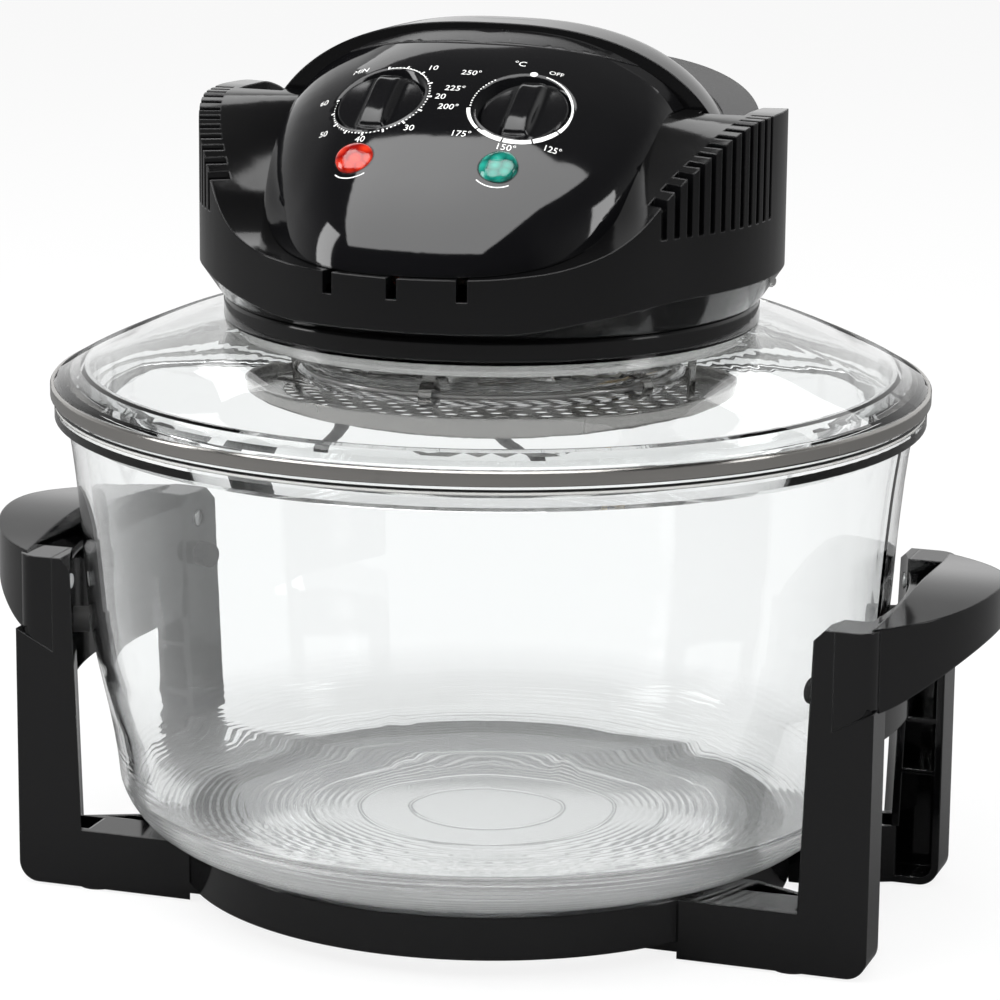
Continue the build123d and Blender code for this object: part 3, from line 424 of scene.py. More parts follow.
# coloured lens: tinted plastic, a third clear, in small cells that break up the gloss, each with a painted highlight (a
# paler, brighter colour) in its middle
def lensFinish(name, color, paintedGlint):
    material, tree, shader = newMaterial(name)
    at = put(tree, "ShaderNodeTexCoord").outputs["Object"]
    cells = put(tree, "ShaderNodeTexVoronoi", [("Vector", at), ("Scale", 230.0)], feature="F1")
    edges = use(tree, "edges")
    grain = use(tree, "grain", Size=500.0)
    # painted highlight: 0 in a cell's middle, where the painted bright colour is full, to 1 at its border, where the
    # lens's own tint is
    share = ranged(tree, cells.outputs["Distance"], 0.1, 0.7)
    shade = tint(tree, share, paintedGlint, color)
    bump = bumped(tree, cells.outputs["Distance"], 0.22, 0.0016, edges.outputs["Normal"])
    joinUp(tree, shader, Base_Color=shade, Roughness=blendOf(tree, grain.outputs["Patches"], 0.03, 0.1), Normal=bump,
           Transmission_Weight=0.35, IOR=1.49, Coat_Weight=0.4, Coat_Roughness=0.03)
    return material


# lens colours: the lens's own tint, then the painted highlight colour for each cell's middle
finishes["redLens"] = lensFinish("red_lens", (0.30, 0.002, 0.001), (0.90, 0.045, 0.012))
finishes["greenLens"] = lensFinish("green_lens", (0.0, 0.09, 0.07), (0.02, 0.42, 0.32))

wearing = {
    "headBlack": ["head_housing", "lid_flange"],
    "standBlack": ["side_frame_right", "side_frame_left", "base_ring", "bow_handle_right", "bow_handle_left"],
    "handleBlack": ["carry_handle"],
    "panelBlack": ["control_panel"],
    "knobBlack": ["timer_knob", "thermostat_knob"],
    "rubber": ["bowl_bumpers", "foot_pads", "cord_strain_relief", "mains_plug"],
    "cordBlack": ["mains_cord", "cord_hank"],
    "silicone": ["lid_gasket"],
    "ceramic": ["tube_end_caps"],
    "nylon": ["terminal_block", "switch_plunger", "safety_switch", "cooling_fan"],
    "band": ["lid_rim_band"],
    "bright": ["reflector", "convection_fan", "motor_shaft"],
    "guard": ["guard_tray", "guard_posts", "base_plate", "tube_clips", "motor_bracket"],
    "zinc": ["frame_screws", "bow_handle_screws", "housing_screws", "clamp_screws", "handle_pins", "timer_bell"],
    "iron": ["fan_motor", "timer_body"],
    "brass": ["thermostat_body", "thermostat_bulb"],
    "coil": ["heating_coil"],
    "bowlGlass": ["glass_bowl"],
    "lidGlass": ["glass_lid"],
    "quartz": ["halogen_tube"],
    "lampGlass": ["pilot_lamps"],
    "redLens": ["power_lens"],
    "greenLens": ["heat_lens"],
}
for finish, names in wearing.items():
    for name in names:
        nodes[name].data.materials.clear()
        nodes[name].data.materials.append(finishes[finish])
print("finishes on", sum(map(len, wearing.values())), "nodes of", len(nodes))

# lead
lidTop = [(0.102, 0.227), (0.120, 0.2232), (0.140, 0.2155), (0.158, 0.2072), (0.1654, 0.203)]
lead = {
    "radius": 0.003,
    "route": [(0, 0.121, 0.249), (0, 0.158, 0.249), (-0.017, 0.186, 0.226), (-0.034, 0.186, 0.186), (-0.050, 0.173, 0.146),
              (-0.074, 0.1555, 0.122), (-0.104, 0.139, 0.127), (-0.118, 0.130, 0.158), (-0.122, 0.129, 0.190),
              (-0.114, 0.131, 0.220), (-0.086, 0.132, 0.232)],
    "hankRing": 0.137,      # hank's middle, from the bowl's axis
    "hankTurn": 204.0,
    "halfLong": 0.054,
    "endRadius": 0.0196,
    "waist": 0.014,
    "bulge": 1.08,          # ends drawn wider, because the spline runs inside its points
    "turns": 3,
    "skip": 2,      # points of the first turn left out where the lead comes in
    "lifts": [0.0042, 0.0099, 0.0154],
    "aside": [0.0012, -0.0006, 0.0009],
    "leaving": [(-0.010, 0.0112, 0.0168), (-0.024, 0.0120, 0.0168)],     # off the last turn: along, across, lift
    "neck": [0.060, 0.046, 0.036, 0.028],      # last points, this far behind the plug's seat
    "neckLift": 0.009,
    "neckLevel": 0.036,     # further back than this the lead climbs, by this share of its length
    "neckClimb": 0.30,
    "plugTurn": 164.5,
    "seatLift": 0.00025,
}


# point on the lid's slope by radius and turn, raised squarely off the glass
def onLid(radius, turn, lift):
    radius, turn = np.asarray(radius, float), np.radians(np.asarray(turn, float))
    slope = np.arctan2(along(lidTop, radius - 0.002) - along(lidTop, radius + 0.002), 0.004)
    out = radius + lift * np.sin(slope)
    return np.stack([out * np.sin(turn), -out * np.cos(turn), along(lidTop, radius) + lift * np.cos(slope)], axis=-1)


# point on the hank's own lines: along and across its length, and over the glass
def onHank(s, place, across, lift):
    return onLid(s["hankRing"] + across, s["hankTurn"] + np.degrees(place / s["hankRing"]), lift)


# where the plug lies, and its ways ahead, across and up
def plugSeat(s):
    seat, foot = (onLid(s["hankRing"], s["plugTurn"], lift) for lift in (s["seatLift"], 0.0))
    up = (seat - foot) / np.linalg.norm(seat - foot)
    ahead = np.array([seat[1], -seat[0], 0.0])
    ahead /= np.linalg.norm(ahead)
    return seat, ahead, np.cross(up, ahead), up


# one turn of the hank, as (along, across): out along a side that eases from waist to end, round, and back
def hankTurn(s):
    straight = s["halfLong"] - s["endRadius"]
    side = np.linspace(0.15, 0.6, 3)
    wide = s["waist"] + (s["endRadius"] - s["waist"]) * eased(side)
    angle = np.radians(np.linspace(85, -85, 5))
    radius = s["endRadius"] * s["bulge"]
    end = np.stack([-(straight + radius * np.cos(angle)), radius * np.sin(angle)], axis=-1)
    out = np.stack([-straight * side, wide], axis=-1)
    back = np.stack([-straight * side[::-1], -wide[::-1]], axis=-1)
    half = np.concatenate([out, end, back])
    return np.concatenate([half, -half])


# lead's points: down from the head, round the hank, each turn easing over its second half to the next, and on to the plug
def leadPoints(s):
    points = [np.array(p) for p in s["route"]]
    turn = hankTurn(s)
    for count in range(s["turns"]):
        after = min(count + 1, s["turns"] - 1)
        for i, (place, wide) in enumerate(turn):
            if count == 0 and i < s["skip"]:
                continue
            share = eased(max(0.0, i / len(turn) - 0.5) * 2)
            rise, aside = (s[key][count] + (s[key][after] - s[key][count]) * share for key in ("lifts", "aside"))
            points.append(onHank(s, place, wide + aside, rise))
    points += [onHank(s, *spot) for spot in s["leaving"]]
    seat, ahead, _, up = plugSeat(s)
    for back in s["neck"]:
        lift = s["neckLift"] + max(0.0, back - s["neckLevel"]) * s["neckClimb"]
        points.append(seat - ahead * back + up * lift)
    return points


def makeLead(s):
    curve = bpy.data.curves.new("lead", "CURVE")
    curve.dimensions = "3D"
    curve.resolution_u = 8
    curve.bevel_depth = s["radius"]
    curve.bevel_resolution = 5
    spline = curve.splines.new("NURBS")
    points = leadPoints(s)
    spline.points.add(len(points) - 1)
    for place, point in zip(spline.points, points):
        place.co = (*point, 1)
    spline.order_u = 3
    spline.use_endpoint_u = True
    curve.use_fill_caps = True
    curve.materials.append(finishes["cordBlack"])
    piece = linked("lead", curve)
    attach(piece, "lid")
    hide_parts("mains_cord", "cord_hank")
    return piece


strap = {
    "halfWide": 0.0188,     # across the hank
    "halfHigh": 0.0095,
    "middle": 0.0101,       # over the glass
    "power": 0.6,
    "section": [(-0.004, 0), (-0.0035, 0.0007), (0.0035, 0.0007), (0.004, 0), (0.0035, -0.0001), (-0.0035, -0.0001)],
}


# tie: a flat strap round both sides of the hank at its waist, a rounded rectangle swept along the side by its width
def makeTie(s, at):
    t = np.linspace(0, 2 * np.pi, 48, endpoint=False)
    across = s["halfWide"] * squared(np.cos(t), s["power"])
    lift = s["middle"] + s["halfHigh"] * squared(np.sin(t), s["power"])
    rows = np.stack([onHank(at, place, across * (1 + grow / s["halfWide"]), lift + grow * np.sin(t))
                     for place, grow in s["section"]])
    return addPiece("lead_tie", rows, gridFaces(*rows.shape[:2], True, True), "lid", "rubber")


plug = {
    "stations": [-0.0270, -0.0268, -0.0245, -0.0240, -0.0225, -0.0220, -0.0200, -0.0195, -0.0175, -0.0170, -0.0145, -0.0115,
                 -0.0095, -0.0060, 0.0, 0.0030, 0.0033, 0.0047, 0.0050, 0.0120, 0.0200, 0.0230, 0.0236, 0.0236],
    "grooves": [4, 5, 8, 9],      # stations cut in round the neck
    "seams": [16, 17],            # and round the body
    "neckEnd": -0.0170,
    "shoulder": 0.0085,           # from the neck's end to the full body
    "shift": -0.0025,      # its middle from the seat, away from its pins
    "wide": 0.0130,
    "thick": 0.0090,
    "neck": 0.0042,
    "hole": 0.0031,        # round the lead
    "groove": 0.0006,
    "seam": 0.0005,
    "edge": 0.0008,        # rounding of the face
    "square": 2.2,         # what the body's power is over the round neck's 2
    "pinApart": 0.0190,
    "pinRadius": 0.0024,
}


# plug: sections along its length, |y/b|^n + |z/c|^n = 1, with b, c and n eased from the round neck to the squarer body;
# its two pins are turned, with rounded ends
def makePlug(s, at):
    seat, *axes = plugSeat(at)
    axes = np.stack(axes)
    x = np.array(s["stations"])
    grow = eased(np.clip((x - s["neckEnd"]) / s["shoulder"], 0, 1))
    half = s["neck"] + (np.array([[s["wide"]], [s["thick"]]]) - s["neck"]) * grow     # rows: b and c
    half[:, s["grooves"]] -= s["groove"]
    half[:, s["seams"]] -= s["seam"]
    half[:, 0], half[:, -1] = s["hole"], 0
    half[:, -2] = half[:, -3] - s["edge"]
    power = 2 / (2 + s["square"] * grow)[:, None]
    t = np.linspace(0, 2 * np.pi, 96, endpoint=False)
    y = half[0][:, None] * squared(np.cos(t), power)
    z = s["thick"] + half[1][:, None] * squared(np.sin(t), power)
    rows = np.stack([np.broadcast_to(x[:, None] + s["shift"], y.shape), y, z], axis=-1)
    body = addPiece("plug", rows @ axes + seat, gridFaces(*y.shape, False, True), "lid", "rubber")
    profile = np.array([(0, 0.0157), (0.72, 0.0155), (0.98, 0.0146), (1, 0.0140), (1, 0.0004), (0.85, 0), (0, 0)])
    pin, faces = lathe(profile * [s["pinRadius"], 1], 32)
    pin = pin[:, [2, 0, 1]] + [x[-1] + s["shift"], 0, s["thick"]]
    points = np.concatenate([pin + [0, side * s["pinApart"] / 2, 0] for side in (-1, 1)]) @ axes + seat
    pins = addPiece("plug_pins", points, np.concatenate([faces, faces + len(pin)]), "lid", "bright")
    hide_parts("mains_plug")
    return body, pins


leadPiece = makeLead(lead)
tie = makeTie(strap, lead)
plugBody, plugPins = makePlug(plug, lead)
print("lead laid")

# head
crown = [(-0.109, 0.252), (-0.105, 0.264), (-0.097, 0.277), (-0.0728, 0.298), (-0.0468, 0.316), (-0.015, 0.331),
         (0.014, 0.3375), (0.035, 0.331), (0.050, 0.312), (0.057, 0.285), (0.060, 0.252)]
hood = {
    "halfWide": 0.097,
    "foot": 0.262,     # below this its sides are upright
    "front": -0.0015,
    "rear": 0.0605,
    "power": 2.5,
    "swell": 0.0006,   # how far it stands off the housing under it
    "top": 0.3374,
    "low": 0.2505,
    "lip": 0.012,      # front edge turned in
    "round": 0.0004,
    "level": 0.012,    # ahead of this the crown line is held level
    "stretch": 0.98,
    "tail": 0.55,      # last sections lowered to this share
}


# hood: upright sections across the head, |x/w|^n + |z/h|^n = 1, with w = halfWide (1 - share^2.6)^0.5 to the rear,
# h from the crown line, and sides going straight down under the foot
def makeHood(s):
    y = np.concatenate([[s["front"]] * 2, s["front"] + (s["rear"] - s["front"]) * np.sin(np.linspace(0, np.pi / 2, 42))])
    a = np.linspace(0, np.pi, 121)
    c, q = np.cos(a), np.sin(a)
    share = np.clip((y - s["front"]) / (s["rear"] - s["front"]), 0, 0.9999)
    wide = s["halfWide"] * np.sqrt(1 - share ** 2.6)
    high = along(crown, np.maximum(y, s["level"]) * s["stretch"]) + s["swell"] - s["foot"]
    high = np.minimum(high, s["top"] - s["foot"])
    high = np.where(share > 0.99, high * s["tail"], high)
    for half in (wide, high):
        half[:2] -= s["lip"], s["round"]
    x = wide[:, None] * squared(c, 2 / s["power"])
    z = s["foot"] + np.maximum(high, 0)[:, None] * np.maximum(q, 0) ** (2 / s["power"])
    rows = np.stack([x, np.broadcast_to(y[:, None], x.shape), z], axis=-1)
    down = rows[:, [0, -1]].copy()
    down[..., 2] = s["low"]
    rows = np.concatenate([down[:, :1], rows, down[:, 1:]], axis=1)
    addPiece("head_hood", rows, gridFaces(*rows.shape[:2]), "lid", "headBlack", sharp=50)


panel = {
    "push": 0.0045,
    "start": 0.046,    # the push eases in between these half widths
    "end": 0.068,
    "low": 0.258,      # and upwards from here
    "rise": 0.045,
}


# panel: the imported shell, its outer sides pushed out past the dials so that the dome is fuller at its shoulders
def makePanel(s):
    mesh = nodes["control_panel"].data.copy()
    mesh.name = "panel"
    bm = bmesh.new()
    bm.from_mesh(mesh)
    bmesh.ops.remove_doubles(bm, verts=bm.verts, dist=1e-6)
    bm.to_mesh(mesh)
    bm.free()
    points = np.empty(len(mesh.vertices) * 3, np.float32)
    mesh.vertices.foreach_get("co", points)
    points = points.reshape(-1, 3)
    side = np.clip((np.abs(points[:, 0]) - s["start"]) / (s["end"] - s["start"]), 0, 1)
    high = np.clip((points[:, 2] - s["low"]) / s["rise"], 0, 1)
    points[:, 0] += np.sign(points[:, 0]) * s["push"] * eased(side) * high
    mesh.vertices.foreach_set("co", points.ravel())
    soften(mesh, 35)
    mesh.materials.clear()
    mesh.materials.append(finishes["panelBlack"])
    piece = linked("panel", mesh)
    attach(piece, "lid")
    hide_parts("control_panel")
    return piece


cap = {"tilt": 0.53, "level": 0.3228, "lift": 0.00030, "lip": 0.0005, "low": 0.300, "flat": 0.05}


# cap: the panel's skin above the plane z + tilt y = level, lifted off it and turned down at its border
def makeCap(source, s):
    bm = bmesh.new()
    bm.from_mesh(source.data)
    under = [f for f in bm.faces if f.calc_center_median().z < s["low"] or f.normal.z < s["flat"]]
    bmesh.ops.delete(bm, geom=under, context="FACES")
    bmesh.ops.bisect_plane(bm, geom=bm.verts[:] + bm.edges[:] + bm.faces[:], plane_co=(0, 0, s["level"]),
                           plane_no=Vector((0, s["tilt"], 1)).normalized(), clear_inner=True)
    bm.normal_update()
    shifts = [(v, v.normal.copy()) for v in bm.verts]
    for vert, way in shifts:
        vert.co += way * s["lift"]
    rim = [e for e in bm.edges if e.is_boundary]
    made = bmesh.ops.extrude_edge_only(bm, edges=rim)
    lowered = {v for v in made["geom"] if isinstance(v, bmesh.types.BMVert)}
    normals = {v: next(e.other_vert(v).normal for e in v.link_edges if e.other_vert(v) not in lowered) for v in lowered}
    for vert in lowered:
        vert.co -= normals[vert] * s["lip"]
    bmesh.ops.recalc_face_normals(bm, faces=bm.faces[:])
    mesh = bpy.data.meshes.new("crown_cap")
    bm.to_mesh(mesh)
    bm.free()
    soften(mesh, 40)
    mesh.materials.append(finishes["capBlack"])
    piece = linked("crown_cap", mesh)
    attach(piece, "lid")


makeHood(hood)
panelPiece = makePanel(panel)
makeCap(panelPiece, cap)
print("head dressed")

# dials
dials = {
    "out": 0.0278, "y": -0.0488, "z": 0.313, "rise": 56.0,      # seat of a knob: middle and the slope of its normal
    "lensOut": 0.0275, "lensY": -0.075, "lensZ": 0.2942, "lensRise": 49.0,
    "text": 0.0042,
    "ring": 0.0192,
    "drawn": 0.0005,       # prints are drawn this far out from the seat
    "ink": 0.00006,        # and laid this far off the skin
}


# columns: right, up the slope, outwards, and the seat's middle
def seatAt(x, y, z, rise):
    turn = math.radians(rise)
    out = np.array([0, -math.cos(turn), math.sin(turn)])
    right = np.array([1.0, 0, 0])
    return np.stack([right, np.cross(out, right), out], axis=1), np.array([x, y, z])


def seated(seat, flat):
    axes, middle = seat
    return np.asarray(flat) @ axes.T + middle


timerSeat = seatAt(-dials["out"], dials["y"], dials["z"], dials["rise"])
heatSeat = seatAt(dials["out"], dials["y"], dials["z"], dials["rise"])
redSeat = seatAt(-dials["lensOut"], dials["lensY"], dials["lensZ"], dials["lensRise"])
greenSeat = seatAt(dials["lensOut"], dials["lensY"], dials["lensZ"], dials["lensRise"])

knob = {
    "discRadius": 0.0164,
    "floor": -0.0046,      # under the seat
    "disc": -0.0030,
    "barTop": 0.0014,      # over the seat, at the bar's middle
    "barWide": 0.0050,
    "barLong": 0.0132,
    "dish": 0.0007,
    "hollow": 0.0006,      # along the bar's top
    "reach": 0.0157,       # the bar fades out over the last bit of this radius
    "fade": 0.0008,
    "round": [0.0003, 0.0009],     # disc's edge lowered
}


# knob: height over the disc is a bar, full within its half width and falling off as a steep power, arched along its length;
# the disc dips towards the bar and turns down round its edge
def makeKnob(name, seat, body, s):
    r = np.concatenate([np.linspace(0, 0.965, 64), [0.985, 1.0, 1.0, 1.0]]) * s["discRadius"]
    t = np.linspace(0, 2 * np.pi, 180, endpoint=False)
    x, y = r[:, None] * np.sin(t), r[:, None] * np.cos(t)
    across = np.abs(x) / s["barWide"]
    length = np.abs(y) / s["barLong"]
    wall = 1 / (1 + across ** 9)
    arch = np.clip(1 - length ** 4, 0, 1) ** 0.5
    dish = s["disc"] - s["dish"] * (1 - (r / s["discRadius"]) ** 2)[:, None]
    top = s["disc"] + (s["barTop"] - s["disc"]) * (0.45 + 0.55 * arch) - s["hollow"] * (1 - np.clip(across, 0, 1) ** 2)
    inside = np.clip((s["reach"] - np.hypot(x, y)) / s["fade"], 0, 1)
    z = dish + (top - dish) * wall * inside
    z[-4:-2] -= np.array(s["round"])[:, None]
    z[-2:] = s["floor"]
    points = np.stack([x, y, z], axis=-1)
    points[-1, :, :2] = 0
    return addPiece(name, seated(seat, points), gridFaces(*z.shape, False, True), body, "knobBlack")


for name, seat, body in (("timer_grip", timerSeat, "timer_knob"), ("heat_grip", heatSeat, "thermostat_knob")):
    grip = makeKnob(name, seat, body, knob)
    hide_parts(body)


# print: off-white ink with a fine grain, a little greyer in patches
def printFinish():
    material, tree, shader = newMaterial("dial_print")
    grain = use(tree, "grain", Size=1200.0)
    shade = tint(tree, blendOf(tree, grain.outputs["Patches"], 0.0, 0.4), (0.80, 0.80, 0.79), (0.66, 0.66, 0.64))
    relief = bumped(tree, grain.outputs["Fine"], 0.15, 0.00005)
    joinUp(tree, shader, Base_Color=shade, Roughness=blendOf(tree, grain.outputs["Fine"], 0.3, 0.5), Normal=relief)
    return material


finishes["print"] = printFinish()


# place in a seat's plane by its angle, clockwise from straight up the slope
def polar(angle, radius):
    turn = math.radians(angle)
    return radius * math.sin(turn), radius * math.cos(turn)


# ring sector in a seat's plane: clockwise angles from straight up the slope, width free to taper
def sector(start, end, radius, width, endWidth=None):
    steps = max(3, int(abs(end - start) / 3))
    t = np.radians(np.linspace(start, end, steps))
    w = np.linspace(width, width if endWidth is None else endWidth, steps)
    across = np.linspace(-0.5, 0.5, 3)
    r = radius + w[:, None] * across
    return np.stack([r * np.sin(t)[:, None], r * np.cos(t)[:, None], np.zeros_like(r)], axis=-1)


# round spot in a seat's plane, rings shrinking to its middle
def dot(angle, radius, size):
    t = np.linspace(0, 2 * np.pi, 14, endpoint=False)
    ring = np.stack([size * np.cos(t), size * np.sin(t), 0 * t], axis=-1) * np.linspace(1, 0, 4)[:, None, None]
    return ring + np.array([*polar(angle, radius), 0])


# an object's mesh as it comes out of its modifiers; the object itself goes
def settled(made):
    bpy.context.view_layer.update()
    mesh = bpy.data.meshes.new_from_object(made.evaluated_get(bpy.context.evaluated_depsgraph_get()))
    bpy.data.objects.remove(made)
    return mesh


# words and numbers as flat mesh points and faces in a seat's plane
def letters(text, size, place):
    data = bpy.data.curves.new("letters", "FONT")
    data.body = text
    data.size = size
    data.align_x = "CENTER"
    data.align_y = "CENTER"
    data.resolution_u = 3
    mesh = settled(linked("letters", data))
    points = np.empty(len(mesh.vertices) * 3)
    mesh.vertices.foreach_get("co", points)
    faces = [tuple(p.vertices) for p in mesh.polygons]
    return points.reshape(-1, 3) + np.array([*place, 0]), faces


# prints on the panel: every mark is drawn flat over its seat, joined, and laid on the nearest skin
def makePrint(name, seat, grids, texts=()):
    points, faces, count = [], [], 0
    for grid in grids:
        points.append(grid.reshape(-1, 3))
        faces += (gridFaces(*grid.shape[:2], False, grid.shape[1] > 4) + count).tolist()
        count += grid.shape[0] * grid.shape[1]
    for text, size, place in texts:
        found, these = letters(text, size, place)
        points.append(found)
        faces += [tuple(i + count for i in f) for f in these]
        count += len(found)
    lifted = np.concatenate(points) + np.array([0, 0, dials["drawn"]])
    mesh = bpy.data.meshes.new(name)
    mesh.from_pydata(seated(seat, lifted).tolist(), [], faces)
    made = linked(name, mesh)
    wrap = made.modifiers.new("wrap", "SHRINKWRAP")
    wrap.target = panelPiece
    wrap.wrap_method = "NEAREST_SURFACEPOINT"
    wrap.wrap_mode = "ABOVE_SURFACE"
    wrap.offset = dials["ink"]
    laid = settled(made)
    laid.name = name
    laid.materials.append(finishes["print"])
    piece = linked(name, laid)
    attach(piece, "lid")


def timerAngle(minutes):
    return -8 + 4.75 * minutes


def minuteMark(minutes):
    angle = timerAngle(minutes)
    if minutes % 5:
        return sector(angle - 0.9, angle + 0.9, ring, 0.0006)
    return sector(angle - 1.1, angle + 1.1, ring + 0.0004, 0.0018)


ring = dials["ring"]
marks = [minuteMark(m) for m in range(61)] + [sector(-7, 60, ring - 0.0002, 0.0003)]
words = [(str(m), dials["text"], polar(timerAngle(m), r)) for m, r in (
    (10, 0.0242), (20, 0.0238), (30, 0.0238), (40, 0.0225), (50, 0.0258), (60, 0.0272))]
words.append(("MIN", 0.0042, (-0.0160, 0.0205)))
makePrint("timer_print", timerSeat, marks, words)

marks = [sector(12, 118, ring + 0.0002, 0.0004, 0.0019), sector(222, 258, ring, 0.0020, 0.0026)]
marks += [sector(a, a + 32, ring, 0.0020) for a in (120, 154, 188)]
marks += [dot(-3, ring + 0.0003, 0.0015)] + [dot(a, ring, 0.00035) for a in np.arange(262, 316, 4.2)]
words = [(str(n) + "\u00b0", dials["text"], polar(a, r)) for n, a, r in (
    (250, -56, 0.0295), (225, -77, 0.0285), (200, -99, 0.0275), (175, -135, 0.0258), (150, 180, 0.0226), (125, 137, 0.0256))]
words += [("\u00b0C", 0.0046, (-0.0080, 0.0252)), ("OFF", 0.0034, (0.0072, 0.0225))]
makePrint("heat_print", heatSeat, marks, words)
for name, seat in (("red_arc", redSeat), ("green_arc", greenSeat)):
    makePrint(name, seat, [sector(140, 220, 0.0096, 0.0005)])

lens = {"radius": 0.0068, "rim": [0.0070, 0.0071, 0.0071], "round": 0.0072, "low": 0.0003, "dome": 0.0024, "foot": -0.004}


# lens: a low dome, height = low + dome (1 - (r/round)^2)^0.5, with a wall down into the panel
def makeLens(name, seat, node, finish, s):
    r = np.concatenate([np.linspace(0, 1, 20) * s["radius"], s["rim"]])
    t = np.linspace(0, 2 * np.pi, 96, endpoint=False)
    dome = s["low"] + s["dome"] * np.sqrt(np.clip(1 - (r / s["round"]) ** 2, 0, 1))
    dome[-1] = s["foot"]
    points = np.stack([r[:, None] * np.cos(t), r[:, None] * np.sin(t), dome[:, None] + 0 * t], axis=-1)
    piece = addPiece(name, seated(seat, points), gridFaces(len(r), len(t), False, True), "lid", finish)
    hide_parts(node)


makeLens("red_dome", redSeat, "power_lens", "redLens", lens)
makeLens("green_dome", greenSeat, "heat_lens", "greenLens", lens)
print("dials made")

# heater guard
tray = {
    "low": 0.1967,
    "high": 0.2023,
    "wall": 0.0008,
    "hole": 0.0030,
    "flare": 1.04,         # the hole's upper edge
    "flareDeep": 0.00015,
    "pitch": 0.0098,
    "field": 0.0845,       # radius that the holes fill
}


# perforated plate: hexagon cells laid side by side, each a ring of quads from its edge to a round hole, on two levels;
# its rim is a turned profile
def makeTray(s):
    n = 12
    angle = np.arange(n) * 2 * np.pi / n
    hexagon = s["pitch"] / 2 / np.cos((angle + np.pi / 6) % (np.pi / 3) - np.pi / 6)
    edge = np.stack([hexagon * np.cos(angle), hexagon * np.sin(angle)], axis=-1)
    hole = s["hole"] * np.stack([np.cos(angle), np.sin(angle)], axis=-1)
    i, j = np.meshgrid(np.arange(-11, 12), np.arange(-11, 12), indexing="ij")
    centre = np.stack([(i + j * 0.5) * s["pitch"], j * s["pitch"] * math.sqrt(3) / 2], axis=-1).reshape(-1, 2)
    centre = centre[np.hypot(*centre.T) < s["field"] - s["pitch"] * 0.35]
    low, high = s["low"], s["low"] + s["wall"]
    loops = [(edge, high), (hole * s["flare"], high), (hole, high - s["flareDeep"]), (hole, low), (edge, low)]
    cell = np.stack([np.concatenate([flat, np.full((n, 1), z)], axis=1) for flat, z in loops])
    points = cell[None] + np.concatenate([centre, np.zeros((len(centre), 1))], axis=1)[:, None, None, :]
    faces = gridFaces(len(loops), n, False, True)
    faces = (faces[None] + np.arange(len(centre))[:, None, None] * len(loops) * n).reshape(-1, 4)
    plate = addPiece("guard_plate", points, faces, "lid", "guard", smooth=False)
    rim = [(0.079, low + 0.0001), (0.0925, low), (0.0930, low + 0.0005), (0.0932, s["high"] - 0.0006), (0.0937, s["high"]),
           (0.0932, s["high"] + 0.0004), (0.0924, s["high"] - 0.0004), (0.0922, high + 0.0008), (0.0915, high + 0.0002),
           (0.079, high + 0.0001)]
    points, faces = lathe(rim, 192, closed=True)
    addPiece("guard_rim", points, faces, "lid", "guard")
    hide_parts("guard_tray")


makeTray(tray)
print("guard made")

# floor and light
studio = {
    "floor": (0.86, 0.86, 0.86),
    "white": 0.86,     # share of white that the floor shows to the camera and through glass
    "sky": 0.55,
    "dark": (0.12, 0.12, 0.12),
    "hush": 0.9,       # share of the dark that gloss sees in the floor
    "within": 0.5,     # how far gloss inside or behind glass is let off
}


# Light Path's gloss, the rays that see white, and the letting off of gloss that has come through glass
def pathShares(tree, s):
    path = put(tree, "ShaderNodeLightPath")
    white = maths(tree, "MAXIMUM", path.outputs["Is Camera Ray"], path.outputs["Is Transmission Ray"])
    through = maths(tree, "GREATER_THAN", path.outputs["Transmission Depth"], 0.5)
    return path.outputs["Is Glossy Ray"], white, maths(tree, "MULTIPLY", through, s["within"])


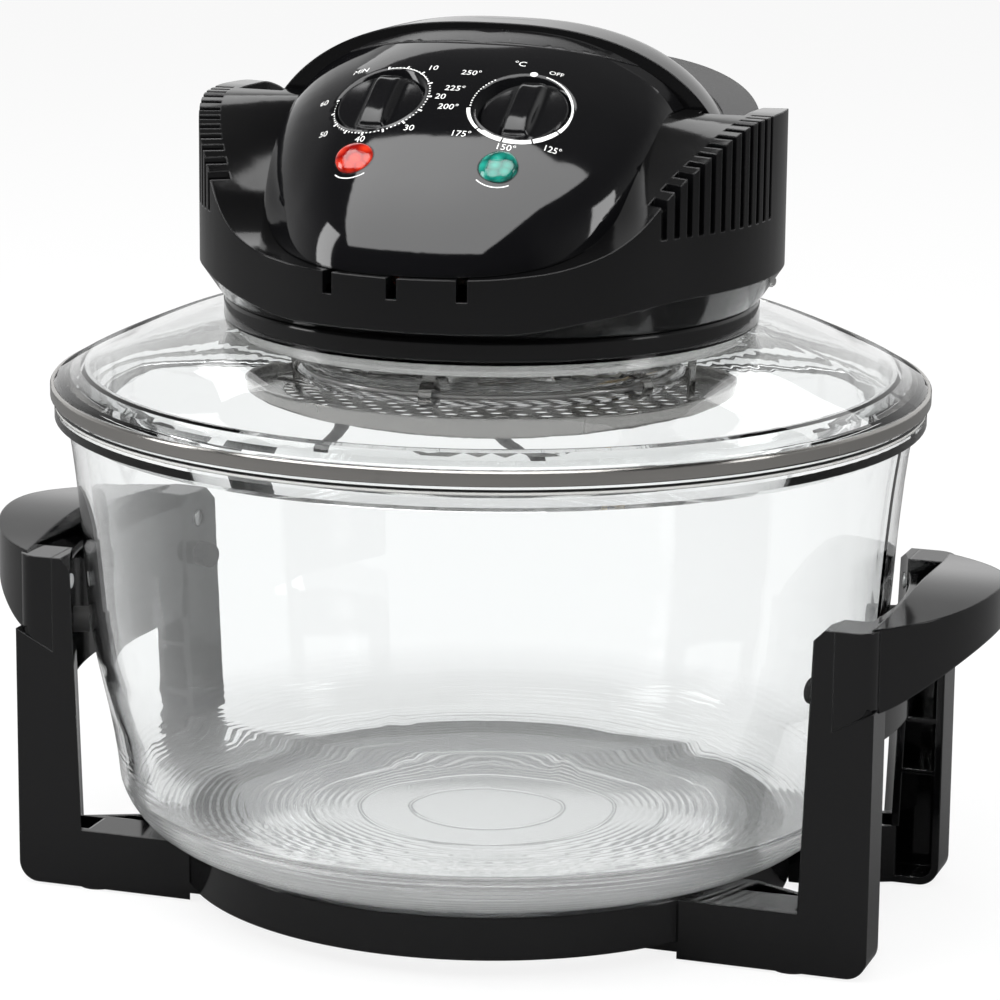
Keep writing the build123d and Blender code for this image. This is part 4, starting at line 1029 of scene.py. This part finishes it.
# floor: matt with its shadow, mostly white to the camera and through glass, and dark to gloss
def makeFloor(s):
    mesh = bpy.data.meshes.new("floor")
    mesh.from_pydata([(-9, -9, 0), (9, -9, 0), (9, 9, 0), (-9, 9, 0)], [], [(0, 1, 2, 3)])
    material = bpy.data.materials.new("floor")
    material.use_nodes = True
    tree = material.node_tree
    tree.nodes.clear()
    matt, dark = (put(tree, "ShaderNodeBsdfDiffuse", [("Color", s[key])]).outputs[0] for key in ("floor", "dark"))
    bright = put(tree, "ShaderNodeEmission", [("Color", (1, 1, 1)), ("Strength", 1.0)]).outputs[0]
    gloss, white, within = pathShares(tree, s)
    share = maths(tree, "MULTIPLY", white, s["white"])
    plain = put(tree, "ShaderNodeMixShader", [(0, share), (1, matt), (2, bright)]).outputs[0]
    only = maths(tree, "SUBTRACT", gloss, maths(tree, "MAXIMUM", white, within), use_clamp=True)
    mirrored = maths(tree, "MULTIPLY", only, s["hush"])
    mix = put(tree, "ShaderNodeMixShader", [(0, mirrored), (1, plain), (2, dark)]).outputs[0]
    put(tree, "ShaderNodeOutputMaterial", [("Surface", mix)])
    mesh.materials.append(material)
    floor = linked("floor", mesh)


# sky: white to the camera and through glass; to gloss it is pale behind, dim in front and overhead; to the rest plain
def makeSky(s):
    world = bpy.data.worlds.new("studio")
    scene.world = world
    world.use_nodes = True
    tree = world.node_tree
    tree.nodes.clear()
    way = put(tree, "ShaderNodeTexCoord").outputs["Generated"]
    split = put(tree, "ShaderNodeSeparateXYZ", [(0, way)])
    behind = ranged(tree, split.outputs[1], -0.5, 0.7, 0.03, 0.95)
    above = ranged(tree, split.outputs[2], 0.1, 0.8, 1.0, 0.35)
    high = ranged(tree, split.outputs[2], 0.35, 0.7, 1.0, 0.28)
    seen = maths(tree, "MULTIPLY", maths(tree, "MULTIPLY", behind, above), high)
    gloss, white, within = pathShares(tree, s)
    seen = maths(tree, "MAXIMUM", seen, within)
    glossy = put(tree, "ShaderNodeMix", [(0, gloss), (2, s["sky"]), (3, seen)], data_type="FLOAT").outputs[0]
    level = put(tree, "ShaderNodeMix", [(0, white), (2, glossy), (3, 1.0)], data_type="FLOAT").outputs[0]
    back = put(tree, "ShaderNodeBackground", [("Color", (1, 1, 1)), ("Strength", level)])
    put(tree, "ShaderNodeOutputWorld", [("Surface", back.outputs[0])])


def addLamp(name, place, aim, size, watts):
    data = bpy.data.lights.new(name, "AREA")
    data.shape = "RECTANGLE"
    data.size, data.size_y = size
    data.energy = watts
    lamp = linked(name, data)
    lamp.location = place
    lamp.rotation_euler = (Vector(aim) - Vector(place)).to_track_quat("-Z", "Y").to_euler()


makeFloor(studio)
makeSky(studio)
addLamp("softbox_left", (-1.7, -0.7, 0.9), (0, 0, 0.25), (0.45, 1.1), 10)
addLamp("softbox_front", (-0.12, -0.66, 1.74), (0, 0, 0.30), (2.3, 1.7), 54)
addLamp("softbox_right", (1.9, -0.1, 0.9), (0, 0, 0.2), (0.4, 1.0), 8)
addLamp("softbox_back", (-0.3, 1.5, 1.5), (0, 0, 0.2), (2.0, 0.5), 5)
print("floor and light set")
